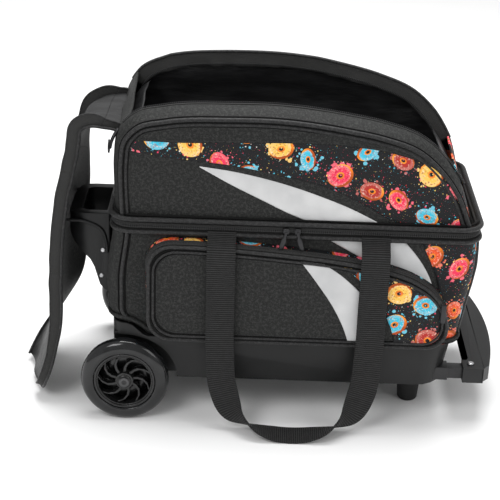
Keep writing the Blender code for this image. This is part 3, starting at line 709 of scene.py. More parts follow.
@dataclass(frozen=True)
class RingCakePrint(Cloth):
    """Printed cloth: iced ring cakes flung about on black, with drops and specks of icing between them.

    Scattered points hold the cakes. Round each, the radius is stretched across a random direction, the icing's edge
    wobbles with noise, and icing flies off as drops that thin out with distance.
    """

    spacing: float = 46.0
    across: float = 20.5

    def write(self, dye: Dye) -> Material:
        """The print over the weave.

        Args:
            dye: The material being written.

        Returns:
            The material.
        """
        uv = dye.cloth_mm(turn=0.42, shift=(7, 3, 0))
        x, y, _ = dye.split(uv)
        lattice = dye.node("CombineXYZ", {}, {0: x + y * 0.5, 1: y * 0.87})
        chance, offset = self.cakes(dye, lattice)
        ox, oy, _ = dye.split(offset)
        dx, dy = ox - oy * 0.5747, oy * 1.1494
        sugar_pick, r2, r3 = dye.split(chance)
        turn = r2 * 6.283
        c, s = turn.op("COSINE"), turn.sin()
        along, over = dx * c + dy * s, (dy * c - dx * s) / (0.66 + r3 * 0.3)
        radius = (along * along + over * over).op("SQRT")
        plain = (dx * dx + dy * dy).op("SQRT")
        wobble = (dye.noise(uv, 6, 2) - 0.5) * 5.2
        size = self.across * (0.76 + r3 * 0.16)
        dough = radius < size
        off_centre = ((along - 1.5) * (along - 1.5) + (over + 2.0) * (over + 2.0)).op("SQRT")
        icing = (off_centre + wobble < size * 0.9) * dough
        hole = radius < size * 0.17
        lip = radius < size * 0.31
        flesh = dye.ramp((over / size) * 0.5 + 0.5 + (dye.noise(uv, 3, 2) - 0.5) * 0.4, (0.15, (0.9, 0.42, 0.06)),
                         (0.55, (0.82, 0.2, 0.015)), (0.85, (0.42, 0.07, 0.008)))
        sugar = dye.ramp(sugar_pick, (0.0, (0.035, 0.5, 0.68)), (0.24, (0.85, 0.035, 0.1)), (0.46, (0.9, 0.55, 0.1)),
                         (0.66, (0.44, 0.028, 0.02)), (0.82, (0.82, 0.09, 0.02)), kind="CONSTANT")
        shine = dye.noise(uv, 2.4, 2, 0.6, 3).fade(0.52, 0.66) * 0.55 + ((radius / size - 0.62) * 8).sin() * 0.16
        iced = dye.mix(shine, sugar, (0.95, 0.75, 0.62))
        shaded = dye.mix(dye.noise(uv, 2.0, 1, 0.5, 9).fade(0.56, 0.68) * 0.7, iced, (0.3, 0.02, 0.03))
        cake = dye.mix(icing * (1 - lip), flesh, shaded)
        ground = dye.mix(dye.noise(uv, 1.4, 2).fade(0.45, 0.8), (0.006, 0.0063, 0.0075), (0.018, 0.019, 0.021))
        ground = self.drops(dye, uv, ground, sugar, plain, size)
        colour = dye.mix(dough * (1 - hole), ground, cake)
        weave = self.weave(dye, dye.cloth_mm())
        return dye.finish(Base_Color=colour, Roughness=0.56 + dye.noise(uv, 40, 2) * 0.12,
                          Normal=dye.bump(weave * 0.16 + dye.noise(dye.place_mm(), 26, 2) * 1.2, 0.8, 0.5),
                          Specular_IOR_Level=0.25)

    def cakes(self, dye: Dye, lattice: Sock) -> tuple[Sock, Sock]:
        """The cakes' points on a staggered lattice, loosened a little.

        Args:
            dye: The material.
            lattice: The cloth's map, sheared so that rows are staggered.

        Returns:
            The nearest cake's random colour, and the way to here from it in mm.
        """
        _, colour, place = dye.scatter(lattice, self.spacing, 0.24)
        return colour, dye.node("VectorMath", {"operation": "SUBTRACT"}, {0: lattice, 1: place})

    def drops(self, dye: Dye, uv: Sock, ground: Sock, sugar: Sock, plain: Sock, size: Sock) -> Sock:
        """Lays icing drops near each cake in its colour, and specks of every colour all over.

        Args:
            dye: The material.
            uv: The cloth's map in mm.
            ground: The colour beneath.
            sugar: The nearest cake's icing colour.
            plain: The distance to that cake in mm.
            size: Its radius in mm.

        Returns:
            The colour with the drops on it.
        """
        near = 1 - (plain / size).fade(1.0, 1.6)
        for cell, big, seed, pick in ((9.5, 4.2, 11, False), (6.0, 1.7, 31, False), (6.5, 1.3, 5, True),
                                      (3.4, 0.55, 23, True)):
            moved = dye.node("VectorMath", {"operation": "ADD"}, {0: uv, 1: (seed, seed * 0.7, 0)})
            distance, chance, _ = dye.scatter(moved, cell)
            a, b, _ = dye.split(chance)
            limit = (a.fade(0.35, 1.0) * big) * (near if not pick else 0.5 + near * 0.5)
            mask = distance * cell < limit
            mixed = dye.ramp(b, (0.0, (0.05, 0.45, 0.6)), (0.3, (0.8, 0.05, 0.12)), (0.55, (0.85, 0.62, 0.16)),
                             (0.75, (0.75, 0.72, 0.66)), (0.88, (0.6, 0.03, 0.02)), kind="CONSTANT")
            tint = mixed if pick else dye.mix(0.12, sugar, (1, 0.9, 0.85))
            ground = dye.mix(mask * 0.92, ground, tint)
        return ground


@dataclass(frozen=True)
class Silver(Cloth):
    """Pale reflective cloth with a faint bloom and fine grain."""

    def write(self, dye: Dye) -> Material:
        """Near-flat light grey, slightly glossy, with broad soft waves.

        Args:
            dye: The material being written.

        Returns:
            The material.
        """
        uv, place = dye.cloth_mm(), dye.place_mm()
        bloom = dye.noise(place, 45, 3)
        colour = dye.mix(bloom.fade(0.3, 0.75) * 0.7 + dye.noise(uv, 1.1, 2) * 0.3, (0.44, 0.445, 0.45),
                         (0.62, 0.62, 0.62))
        return dye.finish(Base_Color=colour, Roughness=0.42 + bloom * 0.15, Metallic=0.15,
                          Normal=dye.bump(self.weave(dye, uv) * 0.06 + dye.noise(place, 30, 2) * 1.4, 0.8, 0.5))


@dataclass(frozen=True)
class Webbing(Finish):
    """Woven strap: ribs across its width, a herringbone within each rib and firmer edges."""

    rib: float = 3.1
    colour: Triple = (0.002, 0.002, 0.0021)

    def write(self, dye: Dye) -> Material:
        """Rib height is a sine along the strap, with slanted yarns that change lean in stripes across it.

        Args:
            dye: The material being written.

        Returns:
            The material.
        """
        uv = dye.cloth_mm()
        x, y, _ = dye.split(uv)
        ribs = (x * (2 * math.pi / self.rib)).sin() * 0.5 + 0.5
        lean = (y * (2 * math.pi / 9.0)).sin().op("SIGN")
        yarn = ((x * lean + y) * (2 * math.pi / 1.6)).sin() * 0.5 + 0.5
        fuzz = dye.noise(uv, 1.2, 3, 0.7)
        height = ribs * (0.35 + dye.noise(uv, 9, 2) * 0.8) + yarn * 0.25 + fuzz * 0.35
        # The colour follows the relief height: partly lighter yarn nap, partly painted highlight on rib crests and
        # painted shade in the grooves.
        colour = dye.mix(height.fade(0.35, 1.1), self.colour, (0.034, 0.034, 0.034))
        return dye.finish(Base_Color=colour, Roughness=0.66 + fuzz * 0.15, Normal=dye.bump(height, 1.3, 0.9),
                          Sheen_Weight=0.02, Specular_IOR_Level=0.25)


@dataclass(frozen=True)
class ZipTape(Finish):
    """Knitted zip tape: fine lengthways ribs and a rough nap."""

    colour: Triple = (0.010, 0.010, 0.0102)

    def write(self, dye: Dye) -> Material:
        """Ribs along the tape with fuzz that catches the light.

        Args:
            dye: The material being written.

        Returns:
            The material.
        """
        uv = dye.cloth_mm()
        x, y, _ = dye.split(uv)
        height = (y * (2 * math.pi / 1.5)).sin() * 0.25 + dye.noise(uv, 1.4, 4, 0.75)
        height = height + (x * (2 * math.pi / 1.3)).sin() * 0.12
        colour = dye.mix(height.fade(0.4, 1.0), self.colour, (0.075, 0.075, 0.072))
        return dye.finish(Base_Color=colour, Roughness=0.8 + dye.noise(uv, 8, 2) * 0.1,
                          Normal=dye.bump(height, 0.6, 0.9), Sheen_Weight=0.03, Specular_IOR_Level=0.3)


@dataclass(frozen=True)
class Lining(Finish):
    """Thin shiny nylon lining with pulled folds, their shade painted into the colour."""

    colour: Triple = (0.007, 0.007, 0.0075)
    light: Triple = (0.02, 0.02, 0.021)
    rough: float = 0.34

    def write(self, dye: Dye) -> Material:
        """Long folds from stretched noise, and a fine grid weave; the folds also set the colour, lighter on crests and
        darker in troughs, as painted shade.

        Args:
            dye: The material being written.

        Returns:
            The material.
        """
        uv, place = dye.cloth_mm(), dye.place_mm()
        pulled = dye.node("Mapping", {}, {0: place, "Scale": (0.4, 1.0, 1.3), "Rotation": (0.3, 0.5, 0.2)})
        folds = dye.noise(pulled, 22, 3, 0.55)
        x, y, _ = dye.split(uv)
        grain = (x * 6.0).sin() * (y * 6.0).sin()
        # Painted shade: the fold noise that shapes the bump also darkens the colour in fold troughs and lightens it on
        # crests.
        colour = dye.mix(folds.fade(0.35, 0.75), self.colour, self.light)
        return dye.finish(Base_Color=colour, Roughness=self.rough + dye.noise(place, 15, 2) * 0.12,
                          Normal=dye.bump(folds * 5 + grain * 0.05, 1.0, 0.7), Specular_IOR_Level=0.4)


@dataclass(frozen=True)
class Moulded(Finish):
    """Moulded plastic or rubber: fine spark grain, faint flow and scuffs."""

    colour: Triple = (0.014, 0.014, 0.0145)
    rough: float = 0.42
    grain: float = 0.9
    depth: float = 0.12
    coat: float = 0.0

    def write(self, dye: Dye) -> Material:
        """Grain bump, with dust in broad patches and lighter scuffs.

        Args:
            dye: The material being written.

        Returns:
            The material.
        """
        place = dye.place_mm()
        grain = dye.noise(place, self.grain, 2, 0.6)
        dust = dye.noise(place, 35, 4, 0.6).fade(0.4, 0.8)
        scuff = dye.noise(dye.node("Mapping", {}, {0: place, "Scale": (0.25, 1, 1)}), 2.2, 4, 0.7).fade(0.68, 0.78)
        light = tuple(min(c * 2.4 + 0.008, 1) for c in self.colour)
        colour = dye.mix(dust * 0.35 + scuff * 0.25 + grain * 0.15, self.colour, light)
        return dye.finish(Base_Color=colour, Roughness=self.rough + dust * 0.12 + grain * 0.06,
                          Normal=dye.bump(grain, self.depth, 0.8), Coat_Weight=self.coat, Coat_Roughness=0.2,
                          Specular_IOR_Level=0.32)


@dataclass(frozen=True)
class Urethane(Finish):
    """Smoky tyre with a polished face and a faintly scuffed tread."""

    def write(self, dye: Dye) -> Material:
        """Deep smoky grey: clouds and dirt vary its tint and polish.

        Args:
            dye: The material being written.

        Returns:
            The material.
        """
        place = dye.place_mm()
        cloud = dye.noise(place, 28, 3)
        dirt = dye.noise(place, 3, 4, 0.7).fade(0.55, 0.8)
        colour = dye.mix(cloud.fade(0.3, 0.7), (0.003, 0.0032, 0.0034), (0.014, 0.0145, 0.0155))
        return dye.finish(Base_Color=colour, Roughness=0.1 + dirt * 0.2 + cloud * 0.05, Specular_IOR_Level=0.28,
                          Coat_Weight=0.35, Coat_Roughness=0.04,
                          Normal=dye.bump(dye.noise(place, 6, 2), 0.1, 0.5))


@dataclass(frozen=True)
class Metal(Finish):
    """Plated or painted metal: brushed lines, tiny pits and worn high spots."""

    colour: Triple = (0.55, 0.55, 0.56)
    rough: float = 0.28
    metallic: float = 1.0

    def write(self, dye: Dye) -> Material:
        """Streaks along the piece over a base colour, with tarnish in patches.

        Args:
            dye: The material being written.

        Returns:
            The material.
        """
        place = dye.place_mm()
        streak = dye.noise(dye.node("Mapping", {}, {0: place, "Scale": (0.06, 1.6, 1.6)}), 1.0, 3, 0.6)
        tarnish = dye.noise(place, 9, 3).fade(0.45, 0.75)
        dark = tuple(c * 0.6 for c in self.colour)
        return dye.finish(Base_Color=dye.mix(tarnish * 0.6 + streak * 0.3, self.colour, dark), Metallic=self.metallic,
                          Roughness=self.rough + streak * 0.15 + tarnish * 0.1,
                          Normal=dye.bump(streak, 0.06, 0.6))


@dataclass(frozen=True)
class Foam(Finish):
    """Open-cell foam: pores and soft shade."""

    def write(self, dye: Dye) -> Material:
        """Pores from scattered cells, lighter between.

        Args:
            dye: The material being written.

        Returns:
            The material.
        """
        place = dye.place_mm()
        pore = dye.node("TexVoronoi", {}, {"Vector": place, "Scale": 0.55})
        colour = dye.mix(pore.fade(0.0, 0.6) * 0.7 + dye.noise(place, 20, 2) * 0.3, (0.018, 0.018, 0.019),
                         (0.06, 0.06, 0.062))
        return dye.finish(Base_Color=colour, Roughness=0.88 + pore * 0.05, Normal=dye.bump(pore, 0.5, 0.8))


BODY_CLOTH = Cloth("black_polyester", "body_fabric")
PRINT_CLOTH = RingCakePrint("ring_cake_print", "printed_fabric")
SILVER_CLOTH = Silver("silver_reflective_cloth", "silver_fabric")
STRAP = Webbing("black_webbing", "webbing")
PIPING = Cloth("bound_piping", "body_fabric", (0.009, 0.009, 0.0093), (0.05, 0.05, 0.05), thread=0.6, rough=0.4,
               crease=0.1)
# Painted shade: near-black cloth for thin tubes laid beside piping, hems and zip bands where shadow lines fall.
SEAM_SHADE = Cloth("painted_seam_shade", "body_fabric", (0.0008, 0.0008, 0.0008), (0.003, 0.003, 0.003), thread=0.6,
                   rough=0.8, crease=0.1)
AXLE_METAL = Metal("dark_axle_steel", "steel", (0.09, 0.09, 0.092), 0.3, 0.9)
TAPE = ZipTape("zip_tape", "lining")
RIM_TAPE = ZipTape("lid_rim_tape", "lining", (0.016, 0.016, 0.016))
LINING = Lining("black_lining", "lining")
LID_LINING = Lining("lid_lining", "lining", (0.006, 0.006, 0.0063), (0.02, 0.0205, 0.021), 0.46)
TRAY_PLASTIC = Moulded("tray_plastic", "tray_plastic", (0.005, 0.0052, 0.0053), 0.42, 1.1, 0.1)
HANDLE_PLASTIC = Moulded("handle_plastic", "handle_plastic", (0.009, 0.0093, 0.0096), 0.38, 0.8, 0.07)
HUB_PLASTIC = Moulded("hub_plastic", "hub_plastic", (0.004, 0.004, 0.0042), 0.22, 1.4, 0.03, 0.35)
RUBBER = Moulded("foot_rubber", "rubber", (0.010, 0.010, 0.010), 0.7, 1.2, 0.15)
TYRE = Urethane("smoky_urethane", "urethane")
STEEL = Metal("zinc_steel", "steel")
TUBE = Metal("black_tube_enamel", "black_tube", (0.018, 0.018, 0.019), 0.26, 0.35)
ZIP_METAL = Metal("black_zip_enamel", "zip_metal", (0.03, 0.03, 0.032), 0.3, 0.5)
TEETH = Moulded("zip_teeth", "zip_metal", (0.022, 0.022, 0.023), 0.34, 0.8, 0.03)
FOAM = Foam("bay_foam", "foam")
THREAD = Cloth("sewing_thread", "thread", (0.02, 0.02, 0.021), (0.075, 0.075, 0.077), thread=0.5)
RED_THREAD = Cloth("red_thread", "thread", (0.35, 0.02, 0.02), (0.6, 0.06, 0.05), thread=0.5)


# --- Sub-assemblies ---


class Body(Enum):
    """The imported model's bodies that carry visual pieces."""

    CHASSIS = "chassis"
    WHEEL_FRONT = "wheel_front"
    WHEEL_REAR = "wheel_rear"
    PULL_HANDLE = "pull_handle"
    BUTTON = "button"
    UPPER_BAG = "upper_bag"
    LID_1 = "lid_1"
    LID_2 = "lid_2"
    LID_3 = "lid_3"
    LID_4 = "lid_4"
    CARRY_FRONT = "carry_front"
    CARRY_REAR = "carry_rear"
    WAIST_LEFT = "waist_zip_left"
    WAIST_RIGHT = "waist_zip_right"
    POCKET_ZIP = "pocket_zip"
    SHOE_ZIP = "shoe_zip"


def row_point(x: float, y: float, z: float) -> Triple:
    """A point in mm in the bag's frame as metres in the row frame."""
    return (x * MM + SHIFT, y * MM, z * MM)


def dress(piece: Piece, finish: Finish, body: Body, nodes: Sequence[str] = (),
          bend: tuple[Body, Sequence[float], Sequence[float]] | None = None) -> Piece:
    """Gives a piece its finish, and attaches it to its body unless a bend is given, in which case it is only baked in
    place.

    Args:
        piece: The finished mesh.
        finish: What it is made of.
        body: The body it rides on, or the first of the two it would bend between; not read when a bend is given.
        nodes: The CAD nodes it stands for.
        bend: The second body and the bend's start and end in mm, for a piece that crosses a joint; the bend is not
            applied: its points are converted and discarded, and the piece is baked in place without a body.

    Returns:
        The piece.
    """
    piece.data.materials.clear()
    piece.data.materials.append(finish.material())
    if bend:
        row_point(*bend[1])
        row_point(*bend[2])
        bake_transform(piece)
    else:
        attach(piece, body.value)
    if nodes:
        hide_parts(*nodes)
    LOG.info("%s: %s on %s", piece.name, finish.name, body.value)
    return piece


def plan_ring(x_low: float, x_high: float, half: float, radius: float, count: int) -> Grid:
    """A rounded rectangle in plan.

    Args:
        x_low: Its left end.
        x_high: Its right end.
        half: Half its depth.
        radius: Its corners' radius.
        count: How many points.

    Returns:
        Points (x, y) from the front's middle towards +x and round, with no repeated end.
    """
    a = np.radians(np.arange(0, 91, 7.5))
    pts = [np.array([[0, -half]])]
    for cx, cy, start in ((x_high - radius, -half + radius, -90), (x_high - radius, half - radius, 0),
                          (x_low + radius, half - radius, 90), (x_low + radius, -half + radius, 180)):
        t = a + math.radians(start)
        pts.append(np.stack([cx + radius * np.cos(t), cy + radius * np.sin(t)], axis=1))
    pts.append(np.array([[0, -half]]))
    return evenly(np.concatenate(pts), count + 1)[:-1]


def level(xy: Grid, z: float | Grid) -> Grid:
    """Plan points put at a height."""
    return grid_of(xy[..., 0], xy[..., 1], z)


@dataclass
class LowerBody:
    """The padded lower body: one lofted cloth shell, with silver and printed pieces let into its right end.

    Plan sections are rounded rectangles whose ends follow the bag's profile. The front and rear swell between the
    tray and the waist as a sine of height, and low noise pulls creases.
    """

    left: float = -251.0
    right: float = 256.0
    half: float = 128.0
    corner: float = 24.0
    top: float = 291.5
    swell: float = 3.0
    crease: float = 1.1

    def __post_init__(self) -> None:
        """Tabulates the middle section: place and outward direction by distance round it."""
        ring = plan_ring(self.left, self.right, self.half, self.corner, 720)
        self.ring = np.concatenate([ring, ring[:1]])
        self.run = run_length(self.ring)
        along = unit(np.roll(ring, -1, 0) - np.roll(ring, 1, 0))
        self.out = np.stack([along[:, 1], -along[:, 0]], axis=1)
        self.out = np.concatenate([self.out, self.out[:1]])
        self.perimeter = float(self.run[-1])

    def hem(self, x: Grid) -> Grid:
        """Where the cloth goes into the tray: level, and higher over the wheels."""
        return 127.5 + 20.5 * ease((-199 - x) / 30)

    def wall(self, s: Grid, z: Grid, proud: float = 0.0) -> Grid:
        """Points on the wall: the middle section, its ends moved by height, its sides swollen and creased.

        Args:
            s: Distance round from the front's middle.
            z: Height.
            proud: How far they stand out.

        Returns:
            The points.
        """
        s = np.mod(s, self.perimeter)
        x, y = (np.interp(s, self.run, self.ring[:, k]) for k in (0, 1))
        nx, ny = (np.interp(s, self.run, self.out[:, k]) for k in (0, 1))
        left = -259 + 16 * (1 - ease((z - 140) / 30)) + 8 * ease((z - 215) / 80)
        right = 244 + 16 * ease((z - 131) / 130)
        x = x + ease((x - 120) / 120) * (right - self.right) + ease((-x - 120) / 120) * (left - self.left)
        rise = np.sin(np.pi * np.clip((z - 128) / (self.top - 128), 0, 1))
        at = grid_of(x, y, z)
        pull = ripple(at * [1, 1, 1.6], 62, 4) + 0.5 * ripple(at * [0.6, 1, 1.9] + z[..., None] * [0.4, 0, 0], 27, 9)
        by = proud + rise * (self.swell * (1 - 0.5 * np.abs(nx)) + self.crease * pull)
        return grid_of(x + nx * by, y + ny * by, z)

    def patch(self, name: str, left_edge: Sequence, right_edge: Sequence, finish: Finish) -> None:
        """Lays a let-in piece on the wall.

        Args:
            name: The piece's name.
            left_edge: Points (distance round, height) of one edge.
            right_edge: Points of the other.
            finish: Its cloth.
        """
        a, b = curve(left_edge, 60), curve(right_edge, 60)
        count = max(int(np.linalg.norm(a - b, axis=1).max() / 5), 8)
        t = np.linspace(0, 1, count)[None, :, None]
        flat_map = a[:, None] * (1 - t) + b[:, None] * t
        grid = self.wall(flat_map[..., 0], flat_map[..., 1])
        dress(shell(name, grid[::-1], 0.7, 1.2, flat_map[::-1]), finish, Body.CHASSIS)

    def hem_welt(self, s: Grid) -> None:
        """Makes the folded hem round the foot of the cloth, with a thin near-black tube under it as painted shade.

        Args:
            s: Distances round the body.
        """
        x = np.interp(s, self.run, self.ring[:, 0])
        # The second row is painted shade: a thin near-black tube under the welt where its shadow falls.
        for name, lift, proud, radius, finish in (("lower_hem_welt", 4.6, 3.6, 3.0, BODY_CLOTH),
                                                  ("lower_hem_painted_shade", 1.2, 4.6, 1.6, SEAM_SHADE)):
            path = self.wall(s, self.hem(x) + 4.0 + lift, proud)
            dress(sweep(name, path, (0, 0, 1), disc(radius, 10), closed=True), finish, Body.CHASSIS)

    def build(self) -> None:
        """Makes the shell, its let-in pieces, piping, hem and stitching."""
        s = np.linspace(0, self.perimeter, 361)[:-1, None]
        t = np.linspace(0, 1, 46)[None, :]
        x = np.interp(s, self.run, self.ring[:, 0])
        z = self.hem(x) + (self.top - self.hem(x)) * t
        wall = self.wall(s, z)
        dress(shell("lower_body_cloth", wall, 0, 3.0, grid_of(s, z), wrap_u=True), BODY_CLOTH, Body.CHASSIS,
              ("lower_front_panel", "lower_rear_panel", "left_end_panel", "right_end_panel"))
        end = self.right - self.corner + self.corner * math.pi + 2 * (self.half - self.corner) + 14
        self.patch("lower_silver", [(45, 291), (98, 262), (150, 236), (192, 214)],
                   [(154.5, 291), (178, 262), (198, 228), (206, 208)], SILVER_CLOTH)
        self.patch("lower_print", [(178, 291), (196, 253), (211, 214), (221, 178), (228, 129)],
                   [(end, 291), (end, 253), (end, 214), (end, 178), (end, 129)], PRINT_CLOTH)
        for label, at, low in (("left", -229.0, 150), ("right", 268.0, 131),
                               ("rear_left", self.perimeter / 2 + 231, 150)):
            height = np.linspace(low, self.top - 1, 40)
            side = (0, 1, 0) if label == "right" else (1, 0, 0)
            dress(sweep(f"lower_piping_{label}", self.wall(np.full(40, at), height, 2.0), side, disc(2.8)), PIPING,
                  Body.CHASSIS)
            # Painted shade: a thin near-black tube on each side of the piping stands for its shadow lines.
            for number, step in enumerate((-4.2, 4.2), start=1):
                path = self.wall(np.full(40, at + step), height, 0.5)
                dress(sweep(f"lower_painted_shade_{label}_{number}", path, side, disc(1.2, 6)), SEAM_SHADE,
                      Body.CHASSIS)
        self.hem_welt(s[::2, 0])
        seam = curve([(175, 289), (193, 253), (208, 214), (218, 178)], 60)
        at = self.wall(seam[:, 0], seam[:, 1], 0.4)
        dress(stitches("lower_print_stitching", at, (0, -1, 0)), THREAD, Body.CHASSIS)


@dataclass
class Pocket:
    """The front pocket: a softly crowned face, a printed gusset, a zip band over its top and piping at both edges."""

    left: float = -198.0
    right: float = 224.0
    low: float = 133.0
    face: float = -150.6
    wall: float = -129.0
    crown: float = 3.6

    def outline(self, inset: float = 0.0, count: int = 220) -> Grid:
        """The pocket's outline from the front.

        Args:
            inset: How far inside the edge.
            count: How many points.

        Returns:
            Points (x, z) round from its lower left, clockwise.
        """
        left, right, low = self.left + inset, self.right - inset, self.low + inset

        def arc(cx: float, cz: float, r: float, start: float, end: float) -> list:
            """Points of an arc about (cx, cz) between two angles in degrees."""
            a = np.radians(np.linspace(start, end, 12))
            return np.stack([cx + r * np.cos(a), cz + r * np.sin(a)], axis=1).tolist()

        top = curve([(-166, 276.6), (-140, 276.6), (-97, 275), (-10, 269), (70, 261), (130, 250), (175, 235),
                     (203, 215), (218, 192), (224, 168)], 80)
        top = [(min(x, right), z - inset) for x, z in top.tolist()]
        ring = [*arc(left + 31, low + 31, 31, 268, 182), *arc(left + 32, 244.5 - inset, 32, 178, 96), *top,
                *arc(right - 28, low + 28, 28, -2, -88)]
        ring.append(ring[0])
        return evenly(np.array(ring), count + 1)[:-1]

    def heights(self, x: Grid) -> tuple[Grid, Grid]:
        """The outline's lower and upper height.

        Args:
            x: Where they are wanted.

        Returns:
            Both heights at each x.
        """
        ring = self.outline(count=400)
        turn_left, turn_right = int(np.argmin(ring[:, 0])), int(np.argmax(ring[:, 0]))
        upper = ring[turn_left:turn_right + 1]
        lower = np.concatenate([ring[turn_right:], ring[:turn_left + 1]])[::-1]
        upper, lower = upper[np.argsort(upper[:, 0])], lower[np.argsort(lower[:, 0])]
        return np.interp(x, lower[:, 0], lower[:, 1]), np.interp(x, upper[:, 0], upper[:, 1])

    def front(self, x: Grid, z: Grid) -> Grid:
        """The face: its rise is the product of a ninth power across and a fifth power up, each taken from 1, with
        creases.

        Args:
            x: Across.
            z: Up.

        Returns:
            The points.
        """
        low, high = self.heights(x)
        v = 2 * (z - low) / np.maximum(high - low, 1) - 1
        u = 2 * (x - self.left) / (self.right - self.left) - 1
        rise = (1 - np.clip(np.abs(v), 0, 1)**5) * (1 - np.clip(np.abs(u), 0, 1)**9)
        flat_at = grid_of(x, 0, z)
        pull = ripple(flat_at * [1, 1, 1.5], 70, 21) + 0.4 * ripple(flat_at + z[..., None] * [0.6, 0, 0], 25, 22)
        return grid_of(x, self.face + 1.6 - rise * (self.crown + 1.0 * pull), z)

    def columns(self, inset: float) -> tuple[Grid, Grid]:
        """A grid over the outline: upright columns, closer at the ends.

        Args:
            inset: How far inside the edge it stops.

        Returns:
            Its x and its z.
        """
        t = np.linspace(-1, 1, 121)
        u = np.sign(t) * (1 - (1 - np.abs(t))**1.35)
        middle, half = (self.left + self.right) / 2, (self.right - self.left) / 2
        x = middle + u * (half - inset)
        low, high = self.heights(x)
        v = np.linspace(0, 1, 44)[None, :]
        return x[:, None] + 0 * v, (low + inset)[:, None] * (1 - v) + (high - inset)[:, None] * v

    def patch(self, name: str, left_edge: Sequence, right_edge: Sequence, finish: Finish) -> None:
        """Lets a piece into the face.

        Args:
            name: The piece's name.
            left_edge: Points (x, z) of one edge.
            right_edge: Points of the other.
            finish: Its cloth.
        """
        a, b = curve(left_edge, 50), curve(right_edge, 50)
        t = np.linspace(0, 1, 30)[None, :, None]
        at = a[:, None] * (1 - t) + b[:, None] * t
        low, high = self.heights(at[..., 0])
        z = np.clip(at[..., 1], low + 3.2, high - 3.2)
        grid = self.front(at[..., 0], z)
        dress(shell(name, grid[::-1], 0.7, 0.9, grid_of(at[..., 0], z)[::-1]), finish, Body.CHASSIS)

    def build(self) -> None:
        """Makes the face, its let-in pieces, the gusset, zip band, piping and stitching."""
        x, z = self.columns(0.6)
        face = dress(shell("pocket_face_cloth", self.front(x, z), 0, 2.0, grid_of(x, z)), BODY_CLOTH, Body.CHASSIS,
                     ("pocket_face",))
        self.patch("pocket_silver", [(12, 264), (38, 230), (62, 194), (78, 162), (87, 136)],
                   [(43, 261), (76, 239), (110, 199), (114, 172), (106, 136)], SILVER_CLOTH)
        self.patch("pocket_print", [(71, 258), (112, 222), (136, 184), (147, 158), (151, 136)],
                   [(150, 244), (196, 219), (220, 180), (222, 162), (206, 140)], PRINT_CLOTH)
        ring = self.outline(count=260)
        along = np.roll(ring, -1, 0) - np.roll(ring, 1, 0)
        away = unit(np.stack([-along[:, 1], along[:, 0]], axis=1))
        run = run_length(ring)
        t = np.linspace(0, 1, 12)[None, :]
        depth = self.wall + 0.3 + (self.face + 2.2 - self.wall) * t
        flare = 6.5 * (1 - t)**1.4 * ease((ring[:, 1:] - 172) / 50)
        puff = 1.6 * np.sin(np.pi * t) - 1.4 + flare
        gusset = grid_of(ring[:, :1] + away[:, :1] * puff, depth, ring[:, 1:] + away[:, 1:] * puff)
        over = np.flatnonzero(ring[:, 1] > 156)
        under = np.roll(np.arange(len(ring)), -int(over[-1]))[:len(ring) - len(over) + 2]
        for name, rows, finish, nodes in (("pocket_gusset_print", over, PRINT_CLOTH, ("pocket_gusset",)),
                                          ("pocket_gusset_foot", under, BODY_CLOTH, ())):
            piece = shell(name, gusset[rows], 0, 1.4, grid_of(run[rows][:, None], depth))
            dress(piece, finish, Body.CHASSIS, nodes)
        # The SEAM_SHADE rows are painted shade: thin near-black tubes beside the piping and along the zip band where
        # shadow lines fall.
        for label, y, radius, inset, finish in (("front", self.face + 0.6, 2.9, 0.0, PIPING),
                                                ("front_painted_shade", self.face + 0.4, 1.3, 3.9, SEAM_SHADE),
                                                ("inner", self.face - 1.4, 1.9, 6.6, PIPING),
                                                ("inner_painted_shade", self.face + 0.2, 1.2, 9.2, SEAM_SHADE),
                                                ("zip_painted_shade", self.face + 4.6, 1.1, -0.6, SEAM_SHADE)):
            loop = self.outline(inset, 260)
            path = grid_of(loop[:, 0], y, loop[:, 1])
            dress(sweep(f"pocket_piping_{label}", path, (0, 1, 0), disc(radius), closed=True), finish,
                  Body.CHASSIS)
        start = int(np.argmin(ring[:, 0] + np.abs(ring[:, 1] - 236)))
        end = int(np.argmax(ring[:, 0] - 0.5 * np.abs(ring[:, 1] - 178)))
        top, out = ring[start:end], away[start:end]
        across = np.linspace(-4.6, 4.6, 7)[None, :]
        middle = self.face + 8.6
        lift_by = 1.6 + 0.32 * (across + 5.5) * ease((top[:, 1:] - 172) / 50)
        band = grid_of(top[:, :1] + out[:, :1] * lift_by, middle + across, top[:, 1:] + out[:, 1:] * lift_by)
        dress(shell("pocket_zip_tape", band, 0.8, 0.6, grid_of(run_length(top)[:, None], across)), TAPE,
              Body.CHASSIS)
        path = grid_of(top[:, 0] + out[:, 0] * 4.2, middle, top[:, 1] + out[:, 1] * 4.2)
        centres = evenly(path, int(run_length(path)[-1] / 1.9))
        at, known = np.linspace(0, 1, len(centres)), np.linspace(0, 1, len(out))
        lift = grid_of(np.interp(at, known, out[:, 0]), 0, np.interp(at, known, out[:, 1]))
        stagger = np.where(np.arange(len(centres)) % 2, 0.7, -0.7)[:, None] * [0, 1, 0]
        piece = bricks("pocket_zip_teeth", centres + stagger, np.gradient(centres, axis=0), lift, (1.1, 3.0, 1.2))
        dress(piece, TEETH, Body.CHASSIS)
        seam = self.outline(11.6, 300)
        at = self.front(seam[:, 0], seam[:, 1]) - [0, 0.2, 0]
        dress(stitches("pocket_stitching", at, (0, -1, 0)), THREAD, Body.CHASSIS)
        foot = self.outline(-1.2, 400)
        foot = foot[(foot[:, 1] < 150) & (foot[:, 0] < -128)]
        foot = foot[np.argsort(foot[:, 0])]
        red = grid_of(foot[:, 0], self.face + 1.8, foot[:, 1])
        dress(stitches("pocket_red_stitching", red, (0, -1, -0.6), 4.6, 3.4, 0.9), RED_THREAD, Body.CHASSIS)


